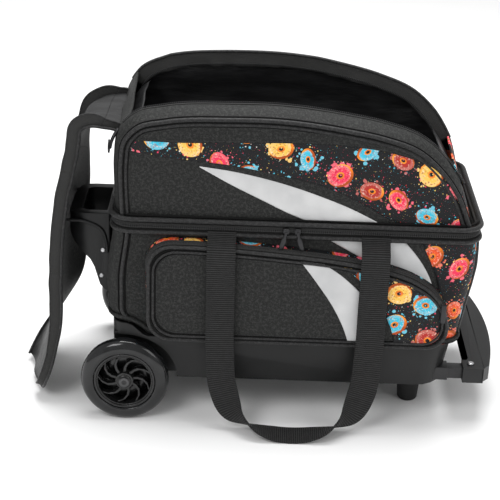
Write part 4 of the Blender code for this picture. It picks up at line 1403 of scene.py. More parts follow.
@dataclass
class Waist:
    """Where the two halves meet: a bound band on each, a zip between them and a cloth hinge at the rear."""

    left: float = -252.0
    right: float = 264.0
    half: float = 134.0
    low: float = 291.4
    split: float = 300.5
    high: float = 311.2

    def band(self, name: str, z_low: float, z_high: float, body: Body, node: str) -> None:
        """Makes one band: tape on a rounded ring, thinner at the middle of its height.

        Args:
            name: The piece's name.
            z_low: Its lower edge.
            z_high: Its upper edge.
            body: The body it rides on.
            node: The CAD node it stands for.
        """
        ring = plan_ring(self.left, self.right, self.half, 30, 320)
        h = (z_high - z_low) / 2
        section = np.array([(-3, -h), (2.2, -h), (3.0, -h + 1.2), (2.6, 0), (3.0, h - 1.2), (2.2, h), (-3, h)])
        path = level(ring, (z_low + z_high) / 2)
        along = unit(np.roll(path, -1, 0) - np.roll(path, 1, 0))
        side = np.cross(along, (0, 0, 1.0))
        path = path - side * 3.0
        dress(sweep(name, path, side, section, closed=True), TAPE, body, (node,))

    def build(self) -> None:
        """Makes the bands, their piping, the zip's two rows of teeth and the rear hinge."""
        self.band("waist_band_lower_tape", self.low, self.split - 0.2, Body.CHASSIS, "waist_band_lower")
        self.band("waist_band_upper_tape", self.split + 0.3, self.high, Body.UPPER_BAG, "waist_band_upper")
        # The SEAM_SHADE rows are painted shade: thin near-black tubes beside the piping where its shadow lines fall.
        for name, grow, z, radius, finish, body in (
                ("waist_piping_lower", 0.9, self.low + 0.6, 3.2, PIPING, Body.CHASSIS),
                ("waist_painted_shade_lower", 0.3, self.low + 4.6, 1.3, SEAM_SHADE, Body.CHASSIS),
                ("waist_painted_shade_under", -2.6, self.low - 3.2, 1.6, SEAM_SHADE, Body.CHASSIS),
                ("waist_piping_upper", 1.2, self.high - 0.6, 3.5, PIPING, Body.UPPER_BAG),
                ("waist_painted_shade_upper", 0.3, self.high - 4.9, 1.4, SEAM_SHADE, Body.UPPER_BAG),
                ("waist_painted_shade_over", -3.4, self.high + 3.4, 1.7, SEAM_SHADE, Body.UPPER_BAG)):
            ring = plan_ring(self.left - grow, self.right + grow, self.half + grow, 30, 320)
            dress(sweep(name, level(ring, z), (0, 0, 1), disc(radius, 10), closed=True), finish, body)
        ring = plan_ring(self.left - 0.2, self.right + 0.2, self.half + 0.2, 30, 900)
        ring = ring[ring[:, 1] < 118]
        start = int(np.argmax(np.linalg.norm(np.diff(ring, axis=0), axis=1)))
        ring = np.concatenate([ring[start + 1:], ring[:start + 1]]) if start else ring
        for name, z, body, first in (("waist_teeth_lower", self.split - 1.0, Body.CHASSIS, 0),
                                     ("waist_teeth_upper", self.split + 1.1, Body.UPPER_BAG, 1)):
            path = level(ring, z)
            centres = evenly(path, int(run_length(path)[-1] / 3.0))[first:]
            along = np.gradient(centres, axis=0)
            dress(bricks(name, centres, along, np.cross(along, (0, 0, 1.0)), (1.5, 2.2, 1.4)), TEETH, body)
        x, z = np.linspace(-224, 236, 60)[:, None], np.linspace(295.5, 306.5, 9)[None, :]
        grid = grid_of(x, 135.2 + 0.5 * np.sin(np.pi * (z - 295.5) / 11), z)
        dress(shell("rear_cloth_hinge", grid, 0.6, 0.6, grid_of(x, z)), BODY_CLOTH, Body.CHASSIS, (),
              (Body.UPPER_BAG, (0, 134.6, 298.6), (0, 134.6, 302.4)))


@dataclass
class CarryLoops:
    """The two webbing carrying loops, each one length from tab to tab whose middle lies on the floor."""

    legs: tuple[float, float] = (-97.0, 117.0)
    width: float = 40.0
    thick: float = 3.0

    def path(self, side: int, top: Sequence[Sequence[float]], top_y: float, top_z: float) -> tuple[Grid, Grid]:
        """The strap's middle line and its width direction: legs that twist until the middle is flat.

        Args:
            side: -1 at the front and 1 at the rear.
            top: (y, z) of each leg from the waist to the top of its fall.
            top_y: Where the fall starts.
            top_z: The height there.

        Returns:
            The line's points and the width directions.
        """
        left = self.legs[0]
        low_y = side * 185.0
        rows = [(left, y, z, 1, 0, 0) for y, z in top]
        for x, share, drop in ((0.5, 0.1, -70), (2, 0.35, -150), (8, 0.6, -205)):
            rows.append((left + x, top_y + (low_y - top_y) * share * 0.6, top_z + drop * top_z / 270, 1, 0, 0))
        rows += [(left + 24, low_y - side * 9, 30, 0.85, side * 0.5, 0.2),
                 (left + 42, low_y - side * 4, 18, 0.6, side * 0.8, 0.2),
                 (left + 64, low_y, 9, 0.25, side * 1.0, 0.1), (left + 86, low_y, 3.5, 0.0, side * 1.0, 0.0)]
        rows = np.array(rows, float)
        mirror = rows[::-1] * [-1, 1, 1, -1, 1, 1] + [sum(self.legs), 0, 0, 0, 0, 0]
        both = curve(np.concatenate([rows, mirror]) * [1, 1, 1, 8, 8, 8], 240)
        bend = ripple(both[:, :3], 55, 31)
        bend[np.abs(both[:, 2] - top_z) < 30] = 0
        both[:, 1] += bend * 1.2 * ease((top_z - 15 - both[:, 2]) / 30) * ease((both[:, 2] - 6) / 20)
        return both[:, :3], both[:, 3:]

    def build(self) -> None:
        """Makes both loops, each curving where it leaves its tab; neither is made to bend with its carry body."""
        path, across = self.path(-1, [(-136.6, 297), (-138.5, 289), (-147, 284), (-155.4, 278.5), (-158.3, 270)],
                                 -158.5, 269.7)
        piece = sweep("carry_loop_front", path, across, flat(self.width, self.thick))
        dress(piece, STRAP, Body.CHASSIS, ("carry_strap_front", "strap_tab_left", "strap_tab_right"),
              (Body.CARRY_FRONT, (0, -152, 281), (0, -158.5, 258)))
        path, across = self.path(1, [(137.4, 299), (138.6, 296), (139.5, 291)], 139.5, 292)
        piece = sweep("carry_loop_rear", path, across, flat(self.width, self.thick))
        dress(piece, STRAP, Body.CHASSIS, ("carry_strap_rear",),
              (Body.CARRY_REAR, (0, 138, 297), (0, 139.5, 283)))


ARCH = ((-236, 312), (-238, 352), (-238, 390), (-233, 421), (-215, 441), (-178, 451), (-91, 457),
        (-21, 457), (73, 446), (120, 437), (168, 420), (200, 393), (226, 358), (246, 312))


@dataclass
class UpperBag:
    """The shoe compartment: arched front and rear, shoulders along the arch, end gussets, zips and lining.

    Everything follows one arch. Its points are moved out along the arch's own normals, by a rise that grows from the
    panels to the rims as a quarter sine.
    """

    count: int = 200
    half: float = 125.4
    rim: float = 95.0
    front_rise: float = 12.0
    floor: float = 311.6
    open_left: float = 0.2
    open_right: float = 0.915

    def __post_init__(self) -> None:
        """Tabulates the arch, its normals and the share of its length at each point."""
        self.arch = curve(ARCH, self.count)
        along = unit(np.gradient(self.arch, axis=0))
        self.out = np.stack([-along[:, 1], along[:, 0]], axis=1)
        self.share = np.linspace(0, 1, self.count)
        self.run = run_length(self.arch)

    def lifted(self, rise: Grid, y: Grid, a: slice = slice(None)) -> Grid:
        """Arch points moved out along their normals.

        Args:
            rise: How far, per arch point and column.
            y: Their depth, the same way.
            a: Which stretch of the arch.

        Returns:
            The points, none below the compartment's floor.
        """
        at = self.arch[a][:, None, :] + self.out[a][:, None, :] * rise[..., None]
        return grid_of(at[..., 0], y, np.maximum(at[..., 1], self.floor))

    def line(self, rise: Grid | float, y: float, a: slice = slice(None)) -> Grid:
        """A single line along the arch or a stretch of it, moved out by rise at depth y."""
        rises = rise + np.zeros((len(self.share[a]), 1))
        return self.lifted(rises, y + 0 * rises, a)[:, 0]

    def rise(self, side: int, t: Grid) -> Grid:
        """Rise of a shoulder: a quarter sine; the rear one is taller, less so at the ends.

        Args:
            side: -1 for the front and 1 for the rear.
            t: 0 at its panel to 1 at its rim.

        Returns:
            The rise per arch point and column.
        """
        rear = np.interp(self.arch[:, 0], (-236, -215, -180, -97, 30, 82, 134, 200, 226, 246),
                         (13, 20, 27, 29, 28, 25, 21, 17, 13, 7))
        front = np.interp(self.arch[:, 0], (-236, 200, 226, 246), (12, 12, 9, 4))
        return (front if side < 0 else rear)[:, None] * np.sin(np.pi / 2 * t)

    def panel(self, x: Grid, z: Grid, side: int = -1) -> Grid:
        """The front or rear panel: a low crown with creases near its foot.

        Args:
            x: Across.
            z: Up.
            side: -1 for the front and 1 for the rear.

        Returns:
            The points.
        """
        swell = (1 - np.clip(np.abs(x / 246), 0, 1)**6) * (1 - np.clip(np.abs((z - 372) / 84), 0, 1)**4)
        at = grid_of(x, side * self.half, z)
        foot = ease((372 - z) / 60)
        pull = ripple(at * [1, 1, 1.4], 80, 41) * 1.6 + ripple(at * [0.7, 1, 2.0], 26, 42) * 0.9 * foot
        return grid_of(x, side * (self.half + swell * (3.0 + pull)), z)

    def flat_panel(self) -> tuple[Grid, Grid]:
        """A grid over the panel: lines from the foot to the arch.

        Returns:
            Its x and its z.
        """
        foot = grid_of(np.linspace(-235, 245, self.count), np.full(self.count, self.floor - 0.6))
        v = np.linspace(0, 1, 60)[None, :, None]
        at = foot[:, None] * (1 - v) + self.arch[:, None] * v
        return at[..., 0], at[..., 1]

    def patch(self, name: str, top: Sequence, bottom: Sequence, finish: Finish) -> None:
        """Lets a piece into the front panel.

        Args:
            name: The piece's name.
            top: Points (x, z) of its top edge.
            bottom: Points of its bottom edge.
            finish: Its cloth.
        """
        a, b = curve(top, 120), curve(bottom, 120)
        t = np.linspace(0, 1, 24)[None, :, None]
        at = b[:, None] * (1 - t) + a[:, None] * t
        grid = self.panel(at[..., 0], at[..., 1])
        dress(shell(name, grid, 1.5, 1.0, at), finish, Body.UPPER_BAG)

    def build(self) -> None:
        """Makes every piece of the compartment."""
        x, z = self.flat_panel()
        for label, side in (("front", -1), ("rear", 1)):
            grid = self.panel(x, z, side)
            piece = shell(f"upper_{label}_cloth", grid, 1.0, 1.6, grid_of(side * x, z))
            dress(piece, BODY_CLOTH, Body.UPPER_BAG, (f"upper_{label}_panel",))
        self.patch("upper_print", [(-230, 423), (-164, 422.5), (-90, 425), (0, 427.5), (73, 425.5), (142, 415),
                                   (190, 397), (219, 364), (236, 330), (243, 313)],
                   [(-231, 408), (-144, 398.6), (-89, 393.4), (-18, 380.5), (54, 362), (103, 338), (150, 314),
                    (185, 312.2), (215, 312.2), (240, 312)], PRINT_CLOTH)
        self.patch("upper_silver", [(-130, 390), (-88, 384.7), (-29, 372.2), (30.6, 353.7), (91, 329.2), (124, 312.4)],
                   [(-130, 389), (-88, 365.6), (-40.5, 342), (-8, 326), (8, 319), (23, 312)], SILVER_CLOTH)
        self.shoulders()
        self.gussets()
        self.rims()
        self.trim()
        self.lining()

    def shoulders(self) -> None:
        """The strips between the panels and the rims; the front one is printed at its right end."""
        t = np.linspace(0, 1, 14)[None, :]
        for label, side in (("front", -1), ("rear", 1)):
            y = side * (self.half - 1 - (self.half - 1 - self.rim) * t) + 0 * self.share[:, None]
            pull = ripple(grid_of(self.run[:, None], y, 0 * y), 45, 51) * 1.2 * np.sin(np.pi * t)
            grid = self.lifted(self.rise(side, t) + pull, y)
            uv = grid_of(self.run[:, None] + 0 * t, side * y)
            cut = int(0.93 * self.count)
            piece = shell(f"{label}_shoulder", grid[:cut], 0.4, 1.6, uv[:cut])
            dress(piece, BODY_CLOTH, Body.UPPER_BAG, (f"{label}_zip_strip",))
            piece = shell(f"{label}_shoulder_print", grid[cut - 1:], 0.4, 1.6, uv[cut - 1:])
            dress(piece, PRINT_CLOTH, Body.UPPER_BAG)

    def gussets(self) -> None:
        """The ends of the compartment, below where the lid opens."""
        a, b = int(self.open_left * self.count), int(self.open_right * self.count)
        for label, part, finish in (("left", slice(0, a), BODY_CLOTH), ("right", slice(b, None), PRINT_CLOTH)):
            y = np.linspace(-self.rim, self.rim, 34)[None, :] + 0 * self.share[part][:, None]
            front, rear = (self.rise(way, np.ones((1, 1)))[part] for way in (-1, 1))
            rise = front + (rear - front) * ease((y + 60) / 155)
            rise = rise + 1.5 * ripple(grid_of(self.run[part][:, None], y, 0 * y), 50, 61)
            grid = self.lifted(rise, y, part)
            piece = shell(f"upper_{label}_end", grid, 0.4, 2.0, grid_of(self.run[part][:, None], y))
            dress(piece, finish, Body.UPPER_BAG, (f"upper_{label}_gusset",))

    def rims(self) -> None:
        """Zip tapes: on the front rim lying flat with teeth, and on the rear rim hanging in and facing forwards."""
        part = slice(int((self.open_left - 0.02) * self.count), int((self.open_right + 0.01) * self.count))
        run = self.run[part][:, None]
        t = np.linspace(0, 1, 8)[None, :]
        y = -self.rim - 3 + 7 * t + 0 * run
        front = self.lifted(self.front_rise + 0.9 - 1.2 * t**2 + 0 * y, y, part)
        dress(shell("front_rim_tape", front, 0.5, 0.9, grid_of(run, 10 * t)), TAPE, Body.UPPER_BAG)
        path = self.line(self.front_rise + 1.9, -self.rim + 3.0, part)
        self.teeth("front_rim_teeth", path, (0, 0, 1.0))
        top = self.rise(1, np.ones((1, 1)))[part]
        drop = np.linspace(0, 1, 12)[None, :]
        wave = ripple(grid_of(run, 20 * drop, 0 * run), 17, 71)
        y = self.rim - 1.0 - 2.5 * drop + 1.6 * wave * drop
        rear = self.lifted(top - 20 * drop + 1.3 * wave * drop, y, part)
        dress(shell("rear_rim_tape", rear, 0.7, 0.8, grid_of(run, 20 * drop)), RIM_TAPE,
              Body.UPPER_BAG)
        path = self.line(top + 0.6, self.rim - 0.5, part)
        dress(sweep("rear_rim_binding", path, (0, 1, 0), disc(2.4, 10)), PIPING, Body.UPPER_BAG)
        path = self.line(top - 17, self.rim - 5.6, part)
        self.teeth("rear_rim_teeth", path, (0, -1.0, 0))

    def teeth(self, name: str, path: Grid, out: Sequence[float]) -> None:
        """Makes a row of zip teeth along a path, standing out."""
        centres = evenly(path, int(run_length(path)[-1] / 2.6))
        dress(bricks(name, centres, np.gradient(centres, axis=0), out, (1.4, 2.6, 1.6)), TEETH, Body.UPPER_BAG)

    def trim(self) -> None:
        """Piping along the arch, front and rear, thin near-black tubes beside it as painted shade lines, and rows of
        stitching beside the print.
        """
        # The SEAM_SHADE rows are painted shade: thin near-black tubes beside the arch piping where its shadow lines
        # fall.
        for name, side, rise, proud, radius, finish in (
                ("arch_piping_front", -1, 0.0, 1.8, 3.1, PIPING), ("arch_painted_shade_front", -1, -4.2, 1.6, 1.4, SEAM_SHADE),
                ("arch_piping_front_inner", -1, -7.2, 2.2, 2.2, PIPING),
                ("arch_painted_shade_front_inner", -1, -10.0, 1.5, 1.2, SEAM_SHADE),
                ("arch_painted_shade_shoulder", -1, 3.2, -1.8, 1.3, SEAM_SHADE), ("arch_piping_rear", 1, 0.0, 1.8, 3.1, PIPING),
                ("arch_painted_shade_rear", 1, -4.2, 1.6, 1.4, SEAM_SHADE)):
            path = self.line(rise, side * (self.half + proud))
            dress(sweep(name, path, (0, 1, 0), disc(radius, 10)), finish, Body.UPPER_BAG)
        path = np.array([(-244, -97, 428), (-249, -99, 420), (-253, -101, 411), (-255, -101, 402)], float)
        dress(sweep("shoe_zip_slider", curve(path, 14), (0, 1, 0), flat(9.0, 4.4)), ZIP_METAL, Body.UPPER_BAG)
        rows = {"print_top_stitching": [(-226, 425.5), (-164, 425), (-90, 427.5), (0, 430), (73, 428), (142, 418),
                                        (188, 401), (212, 376)],
                "print_low_stitching": [(-229, 405.5), (-144, 396), (-89, 391), (-18, 378), (54, 359.5), (101, 336),
                                        (144, 315)]}
        for name, points in rows.items():
            at = curve(points, 200)
            path = self.panel(at[:, 0], at[:, 1]) - [0, 1.2, 0]
            dress(stitches(name, path, (0, -1, 0), 4.2, 2.8, 0.6), THREAD, Body.UPPER_BAG)

    def lining(self) -> None:
        """The nylon inside: both long walls, the two ends and a padded floor, all pulled into soft folds."""
        x, z = self.flat_panel()
        part = slice(3, -3)
        for label, side in (("front", -1), ("rear", 1)):
            at = grid_of(x[part, 1:] * 0.975, 0, z[part, 1:])
            lift = 8 * ease((at[..., 2] - 350) / 100) if side > 0 else 0
            pull = ripple(at * [0.7, 1, 1.2], 48, 81 + side) * 3 + ripple(at * [1, 1, 0.5], 22, 83) * 1.2
            y = side * (self.half - 7.5 + pull - 18 * ease((at[..., 2] - 395) / 55) * (side > 0))
            grid = grid_of(at[..., 0], y, at[..., 2] + lift)
            piece = shell(f"lining_{label}_wall", grid, 0.5, 0.5, grid_of(x[part, 1:], z[part, 1:]))
            dress(piece, LINING, Body.UPPER_BAG)
        a, b = int((self.open_left + 0.01) * self.count), int((self.open_right - 0.04) * self.count)
        for label, part in (("left", slice(2, a)), ("right", slice(b, self.count - 2))):
            y = np.linspace(-112, 112, 40)[None, :] + 0 * self.share[part][:, None]
            rise = -6 + 6.4 * ease((y.max() - np.abs(y)) / 40)
            rise = rise - 2.2 * ripple(grid_of(self.run[part][:, None], y, 0 * y), 36, 91)
            grid = self.lifted(rise, y, part)
            piece = shell(f"lining_{label}_end", grid, 0.5, 0.5, grid_of(self.run[part][:, None], y))
            dress(piece, LINING, Body.UPPER_BAG)
        x, y = np.linspace(-231, 240, 90)[:, None], np.linspace(-118, 118, 50)[None, :]
        z = 315.2 + 1.6 * ripple(grid_of(x, y, 0 * x), 40, 95) - 0.4 * ((x / 236)**8 + (y / 118)**8)
        piece = shell("compartment_floor_mat", grid_of(x, y, z), 1.2, 1.6, grid_of(x, y))
        dress(piece, LINING, Body.UPPER_BAG, ("compartment_floor",))


@dataclass
class Lid:
    """The compartment's lid, folded right back so that it hangs down past the wheel end.

    Its middle line runs through the four hinge corners on a smooth curve. Stations along it say how far the near edge,
    the middle and the far edge leave that line, and how far the sheet drifts towards the front. Across the sheet these
    are joined by powers of the distance from its middle. A taped wall stands along each long edge.
    """

    half: float = 92.0
    wall: float = 17.0
    corners: tuple = ((-243.0, 425.0), (-301.0, 437.0), (-331.1, 281.9), (-340.8, 124.2), (-383.1, 9.8))
    stations: tuple = ((0, 0, 0, 0, 0, 0, 0, 0), (35, 2, -8, 4, -13, 8, -18, 0), (65, 6, -13, 5, -24, 6, -35, 0),
                       (95, 12, -8, 5, -20, 4, -38, 0), (150, 9, 0, 2, -8, 12, -28, 0), (200, 8, 0, 0, 0, 20, -16, -1),
                       (240, 9, 0, 0, 0, 24, -8, -3), (290, 10, 0, 0, 0, 26, -3, -6), (360, 13, 0, 3, 0, 25, 0, -10),
                       (405, 16, 0, 5, 0, 18, 0, -15), (440, 20, 0, 5, 0, 7, 0, -21), (475, 23, 0, 5, 0, -5, 0, -28),
                       (510, 23, 0, 4, 0, -13, 0, -34))

    def middle(self) -> tuple[Grid, Grid, Grid]:
        """The middle line, its corners rounded.

        Returns:
            Its (x, z) points, the distance along it, and its outer side's direction at each point.
        """
        line = curve([(-240, 421), (-262, 431), (-288, 438), (-301.5, 433.5), (-308, 415), (-313, 388), (-321, 340),
                      (-330, 284), (-334.5, 230), (-339, 170), (-343.5, 124), (-356, 84), (-370, 44),
                      (-382.5, 10.5)], 260)
        along = unit(np.gradient(line, axis=0))
        return line, run_length(line), np.stack([-along[:, 1], along[:, 0]], axis=1)

    def leaning(self, run: Grid) -> Grid:
        """The stations' offsets smoothed by a running mean.

        Args:
            run: Distances along the lid.

        Returns:
            Seven offsets for each: x and z of the near edge, the middle and the far edge, and the drift.
        """
        table = np.array(self.stations, float)
        reach = 12
        found = []
        for k in range(1, 8):
            dense = np.interp(run, table[:, 0], table[:, k])
            padded = np.pad(dense, reach, mode="edge")
            found.append(np.convolve(padded, np.ones(2 * reach + 1) / (2 * reach + 1), "valid"))
        return np.stack(found, axis=1)

    def surface(self, grow: float, offset: float) -> tuple[Grid, Grid]:
        """The sheet moved out by offset, as a grid from root to tip by near to far edge.

        Args:
            grow: How much wider than the sheet.
            offset: Distance out along the sheet's outer side.

        Returns:
            The grid and its map.
        """
        line, run, up = self.middle()
        share = run / run[-1]
        lean = self.leaning(run)
        v = np.linspace(-1, 1, 36)[None, :]
        tip = np.sqrt(np.clip(1 - np.clip((share - 0.86) / 0.14, 0, 1)**2.8 * 0.68, 0, 1))
        root = 1 - 0.05 * (1 - ease(share / 0.1))
        over = (self.half * tip * root + grow)[:, None] * v
        edge = np.where(v < 0, np.abs(v)**1.4, np.abs(v)**2.4)
        side = np.where(v[..., None] < 0, lean[:, None, 0:2], lean[:, None, 4:6])
        leave = lean[:, None, 2:4] * (1 - edge[..., None]) + side * edge[..., None]
        at = grid_of(run[:, None], over, 0 * over)
        cup = 3.0 * (1 - v**2) * ease((share - 0.05) / 0.1)[:, None] * (1 - ease((share - 0.9) / 0.1))[:, None]
        lift = offset - cup + 2.0 * ripple(at * [1, 0.8, 1], 75, 101) + 1.0 * ripple(at, 28, 102)
        x = line[:, :1] + leave[..., 0] + up[:, :1] * lift
        z = np.maximum(line[:, 1:] + leave[..., 1] + up[:, 1:] * lift, 4.0)
        return grid_of(x, over + lean[:, 6:7], z), grid_of(run[:, None], over)

    def edge_wall(self, side: int) -> tuple[Grid, Grid]:
        """A taped wall: a wavy strip standing off the lining's side.

        Args:
            side: -1 along the near edge and 1 along the far one.

        Returns:
            The grid and its map.
        """
        _, run, up = self.middle()
        sheet, _ = self.surface(-2.0 if side < 0 else -4.0, -0.6)
        edge = sheet[:, 0 if side < 0 else -1]
        t = np.linspace(0, 1, 8)[None, :]
        low = ease((run - 330) / 130) * (0.35 if side < 0 else 0.8)
        width = (self.wall * (0.5 + 0.5 * ease(run / 60)) * (1 - low))[:, None] * t
        wave = ripple(grid_of(run[:, None], 9 * t, 0 * t), 19, 111) * 1.5 * t
        x = edge[:, :1] - up[:, :1] * (width + 0.5 * wave)
        z = np.maximum(edge[:, 2:] - up[:, 1:] * (width + 0.5 * wave), 3.0)
        return grid_of(x, edge[:, 1:2] - side * 1.5 * t + 0.7 * wave, z), grid_of(run[:, None], width)

    def lengths(self) -> list[tuple[slice, Body, tuple, str]]:
        """The lid's four lengths, cut halfway between hinges.

        Returns:
            Each length's rows, its first body, its second body with the bend's start and end, and its CAD node.
        """
        line, _, _ = self.middle()
        corners = np.array(self.corners)
        rows = [int(np.argmin(np.linalg.norm(line - c, axis=1))) for c in corners]
        cuts = [0, *[(a + b) // 2 for a, b in zip(rows[:-2], rows[1:-1])], len(line) - 1]
        bodies = [Body.UPPER_BAG, Body.LID_1, Body.LID_2, Body.LID_3, Body.LID_4]
        found = []
        for i, reach in enumerate((14, 22, 26, 26)):
            back = unit(corners[i] - corners[i - 1]) * reach if i else np.array([-5.6, 0.6])
            start, end = corners[i] - back, corners[i] + unit(corners[i + 1] - corners[i]) * reach
            found.append((slice(cuts[i], cuts[i + 1] + 1), bodies[i],
                          (bodies[i + 1], (start[0], 0, start[1]), (end[0], 0, end[1])), f"lid_length_{i + 1}"))
        return found

    def build(self) -> None:
        """Makes the four lengths of cloth, lining, edge walls and bindings, each baked in place across its hinge, with
        the bend given but not applied.
        """
        outer, uv = self.surface(0.0, 1.0)
        inner, _ = self.surface(-3.0, -1.6)
        edge, _ = self.surface(1.0, -0.4)
        walls = {"near": self.edge_wall(-1), "far": self.edge_wall(1)}
        for i, (rows, body, bend, node) in enumerate(self.lengths(), start=1):
            piece = shell(f"lid_cloth_{i}", outer[rows], 0.9, 1.4, uv[rows])
            dress(piece, BODY_CLOTH, body, (node,), bend)
            piece = shell(f"lid_lining_{i}", inner[rows], 0.9, 0.9, uv[rows])
            dress(piece, LID_LINING, body, (), bend)
            for label, column in (("near", 0), ("far", -1)):
                grid, wall_uv = walls[label]
                piece = shell(f"lid_edge_wall_{label}_{i}", grid[rows], 0.7, 0.7, wall_uv[rows])
                dress(piece, RIM_TAPE, body, (), bend)
                for kind, path, radius in (("binding", edge[rows, column], 2.0), ("edge", grid[rows, -1], 1.5)):
                    piece = sweep(f"lid_{kind}_{label}_{i}", path, (0, 1, 0), disc(radius, 10))
                    dress(piece, PIPING, body, (), bend)
        dress(sweep("lid_binding_tip", edge[-1], (0, 0, 1), disc(2.6, 10)), PIPING, Body.LID_4)


@dataclass
class Wheel:
    """One wheel: a crowned smoky tyre on a curved-spoke hub with a raised cap."""

    label: str
    side: int
    rim: float = 44.8
    half: float = 13.0

    def build(self) -> None:
        """Makes the tyre, hub, cap, hub web and rim bead."""
        body = Body.WHEEL_FRONT if self.side < 0 else Body.WHEEL_REAR
        centre = (WHEEL_X, self.side * WHEEL_Y, AXLE_Z)
        h = self.half
        inner = [(self.rim, -h + 1), (self.rim + 1.2, -h), (self.rim + 6, -h), (self.rim + 9, -h + 0.8), (58, -h + 2.2),
                 (61.2, -h + 4.6), (62.9, -h + 8), (63.5, -3)]
        profile = inner + [(r, -y) for r, y in inner[::-1]]
        dress(lathe(f"{self.label}_tyre", profile, centre), TYRE, body, (f"tyre_{self.label}",))
        hub = rounded(f"hub_{self.label}", f"{self.label}_spoked_hub", 0.9, 2)
        dress(hub, HUB_PLASTIC, body, (f"hub_{self.label}",))
        cap = [(0.2, 12.2), (3.6, 12.2), (5.2, 11.2), (5.6, 9.4), (7.6, 9.2), (9.6, 8.4), (10.2, 6.4), (0.2, 6.4)]
        cap = [(r, self.side * y) for r, y in cap]
        piece = lathe(f"{self.label}_hub_cap", cap, (WHEEL_X, self.side * (WHEEL_Y + 3.4), AXLE_Z), 48)
        dress(piece, HUB_PLASTIC, body)
        web = [(9.8, -8.0), (41, -8.0), (41, -9.6), (9.8, -9.6)]
        web = [(r, self.side * y) for r, y in web]
        dress(lathe(f"{self.label}_hub_web", web, centre), HUB_PLASTIC, body)
        ring = [(40.2, 10.6), (41.4, 11.6), (43.6, 11.6), (44.4, 10.6), (43.8, 9.4), (40.6, 9.4)]
        ring = [(r, self.side * y) for r, y in ring]
        dress(lathe(f"{self.label}_rim_bead", ring, centre), HUB_PLASTIC, body)


@dataclass
class Hardware:
    """Hard pieces whose CAD shape is right: each is copied, its edges rounded, and given its finish."""

    def build(self) -> None:
        """Rounds and dresses every hard node, then the padding in the ball bay."""
        ends = ("front", "rear")
        rows = (("base_tray", "moulded_tray", 1.6, TRAY_PLASTIC, Body.CHASSIS),
                *[(f"axle_clip_{e}", f"axle_clip_{e}_moulded", 0.8, TRAY_PLASTIC, Body.CHASSIS) for e in ends],
                ("axle", "steel_axle", 0.4, AXLE_METAL, Body.CHASSIS),
                *[(f"foot_{e}", f"rubber_foot_{e}", 1.2, RUBBER, Body.CHASSIS) for e in ends],
                *[(f"guide_tube_{e}", f"guide_channel_{e}", 0.5, TUBE, Body.CHASSIS) for e in ends],
                ("grab_handle", "moulded_grab_handle", 2.6, HANDLE_PLASTIC, Body.CHASSIS),
                *[(f"inner_tube_{e}", f"sliding_tube_{e}", 0.6, TUBE, Body.PULL_HANDLE) for e in ends],
                ("grip_inner_shell", "grip_inner_half", 2.2, HANDLE_PLASTIC, Body.PULL_HANDLE),
                ("grip_outer_shell", "grip_outer_half", 2.6, HANDLE_PLASTIC, Body.PULL_HANDLE),
                ("release_button", "grip_button", 1.0, HUB_PLASTIC, Body.BUTTON),
                ("bearing_front", "bearing_ring_front", 0.4, STEEL, Body.WHEEL_FRONT),
                ("bearing_rear", "bearing_ring_rear", 0.4, STEEL, Body.WHEEL_REAR),
                ("shoe_zip_pull", "shoe_zip_ring", 0.4, ZIP_METAL, Body.SHOE_ZIP),
                ("pocket_slider", "pocket_zip_slider", 1.2, ZIP_METAL, Body.POCKET_ZIP))
        for node, name, bevel, finish, body in rows:
            dress(rounded(node, name, bevel), finish, body, (node,))
        for end, side in (("near", -1), ("far", 1)):
            ridge = curve([(-327, side * 58.5, 273), (-294, side * 59, 271), (-272, side * 59, 259),
                           (-266, side * 59, 241), (-264.5, side * 59, 224)], 60)
            dress(sweep(f"grab_handle_{end}_ridge", ridge, (0, 1, 0), disc(2.4, 10)), HANDLE_PLASTIC,
                  Body.CHASSIS)
        for end in ends:
            for place in ("upper", "lower"):
                node = f"handle_screw_{end}_{place}"
                dress(rounded(node, f"grab_{end}_{place}_screw", 0.5), STEEL, Body.CHASSIS, (node,))
            node = f"grip_screw_{end}"
            dress(rounded(node, f"socket_{end}_screw", 0.5), STEEL, Body.PULL_HANDLE, (node,))
        for node, name in (("ball_cup_left", "padded_ball_cup_left"), ("ball_cup_right", "padded_ball_cup_right"),
                           ("ball_divider", "padded_ball_divider")):
            piece = dress(rounded(node, name, 2.4, 4), FOAM, Body.CHASSIS, (node,))


@dataclass
class WaistSlider:
    """A zip slider on the waist with a hanging pull."""

    label: str
    x: float
    lean: float

    def build(self) -> None:
        """Makes a waisted slider body and a pull that widens to a grip."""
        body = Body.WAIST_LEFT if self.label == "left" else Body.WAIST_RIGHT
        z = np.linspace(-4.4, 4.4, 12)
        path = grid_of(self.x, -136.6, 300.6 + z)
        wide = 3.2 + 1.1 * np.cos(z / 4.4 * np.pi / 2)
        section = np.array([(-1, -1.7), (1, -1.7), (1.1, 0), (1, 1.7), (-1, 1.7), (-1.1, 0)])
        piece = self.stack(f"waist_{self.label}_slider_body", path, section, wide)
        dress(piece, ZIP_METAL, body, (f"waist_slider_{self.label}",))
        drop = np.linspace(0, 1, 26)
        path = grid_of(self.x + self.lean * drop, -139.0 - 1.6 * np.sin(np.pi * drop * 0.8) - 0.8 * drop,
                       300 - 26 * drop)
        width = 2.0 + 1.6 * ease((drop - 0.25) / 0.2) - 1.2 * ease((drop - 0.9) / 0.1)
        dress(self.stack(f"waist_{self.label}_pull", path, disc(1.0, 10, 0.798), width), ZIP_METAL, body)

    def stack(self, name: str, path: Grid, section: Grid, width: Grid) -> Piece:
        """A level section set along an upright path, its x scaled by the width at each point.

        Args:
            name: The piece's name.
            path: Points in mm.
            section: Points (x, y) of the section.
            width: The scale of x along the path.

        Returns:
            The piece.
        """
        grid = path[:, None] + grid_of(section[None, :, 0] * width[:, None], section[None, :, 1], 0)
        rows, cols = grid.shape[:2]
        faces = quads(rows, cols, False, True).tolist()
        faces += [list(range(cols)), list(range((rows - 1) * cols, rows * cols))]
        return outwards(make_mesh(name, grid, faces, np.zeros((rows * cols, 2))))


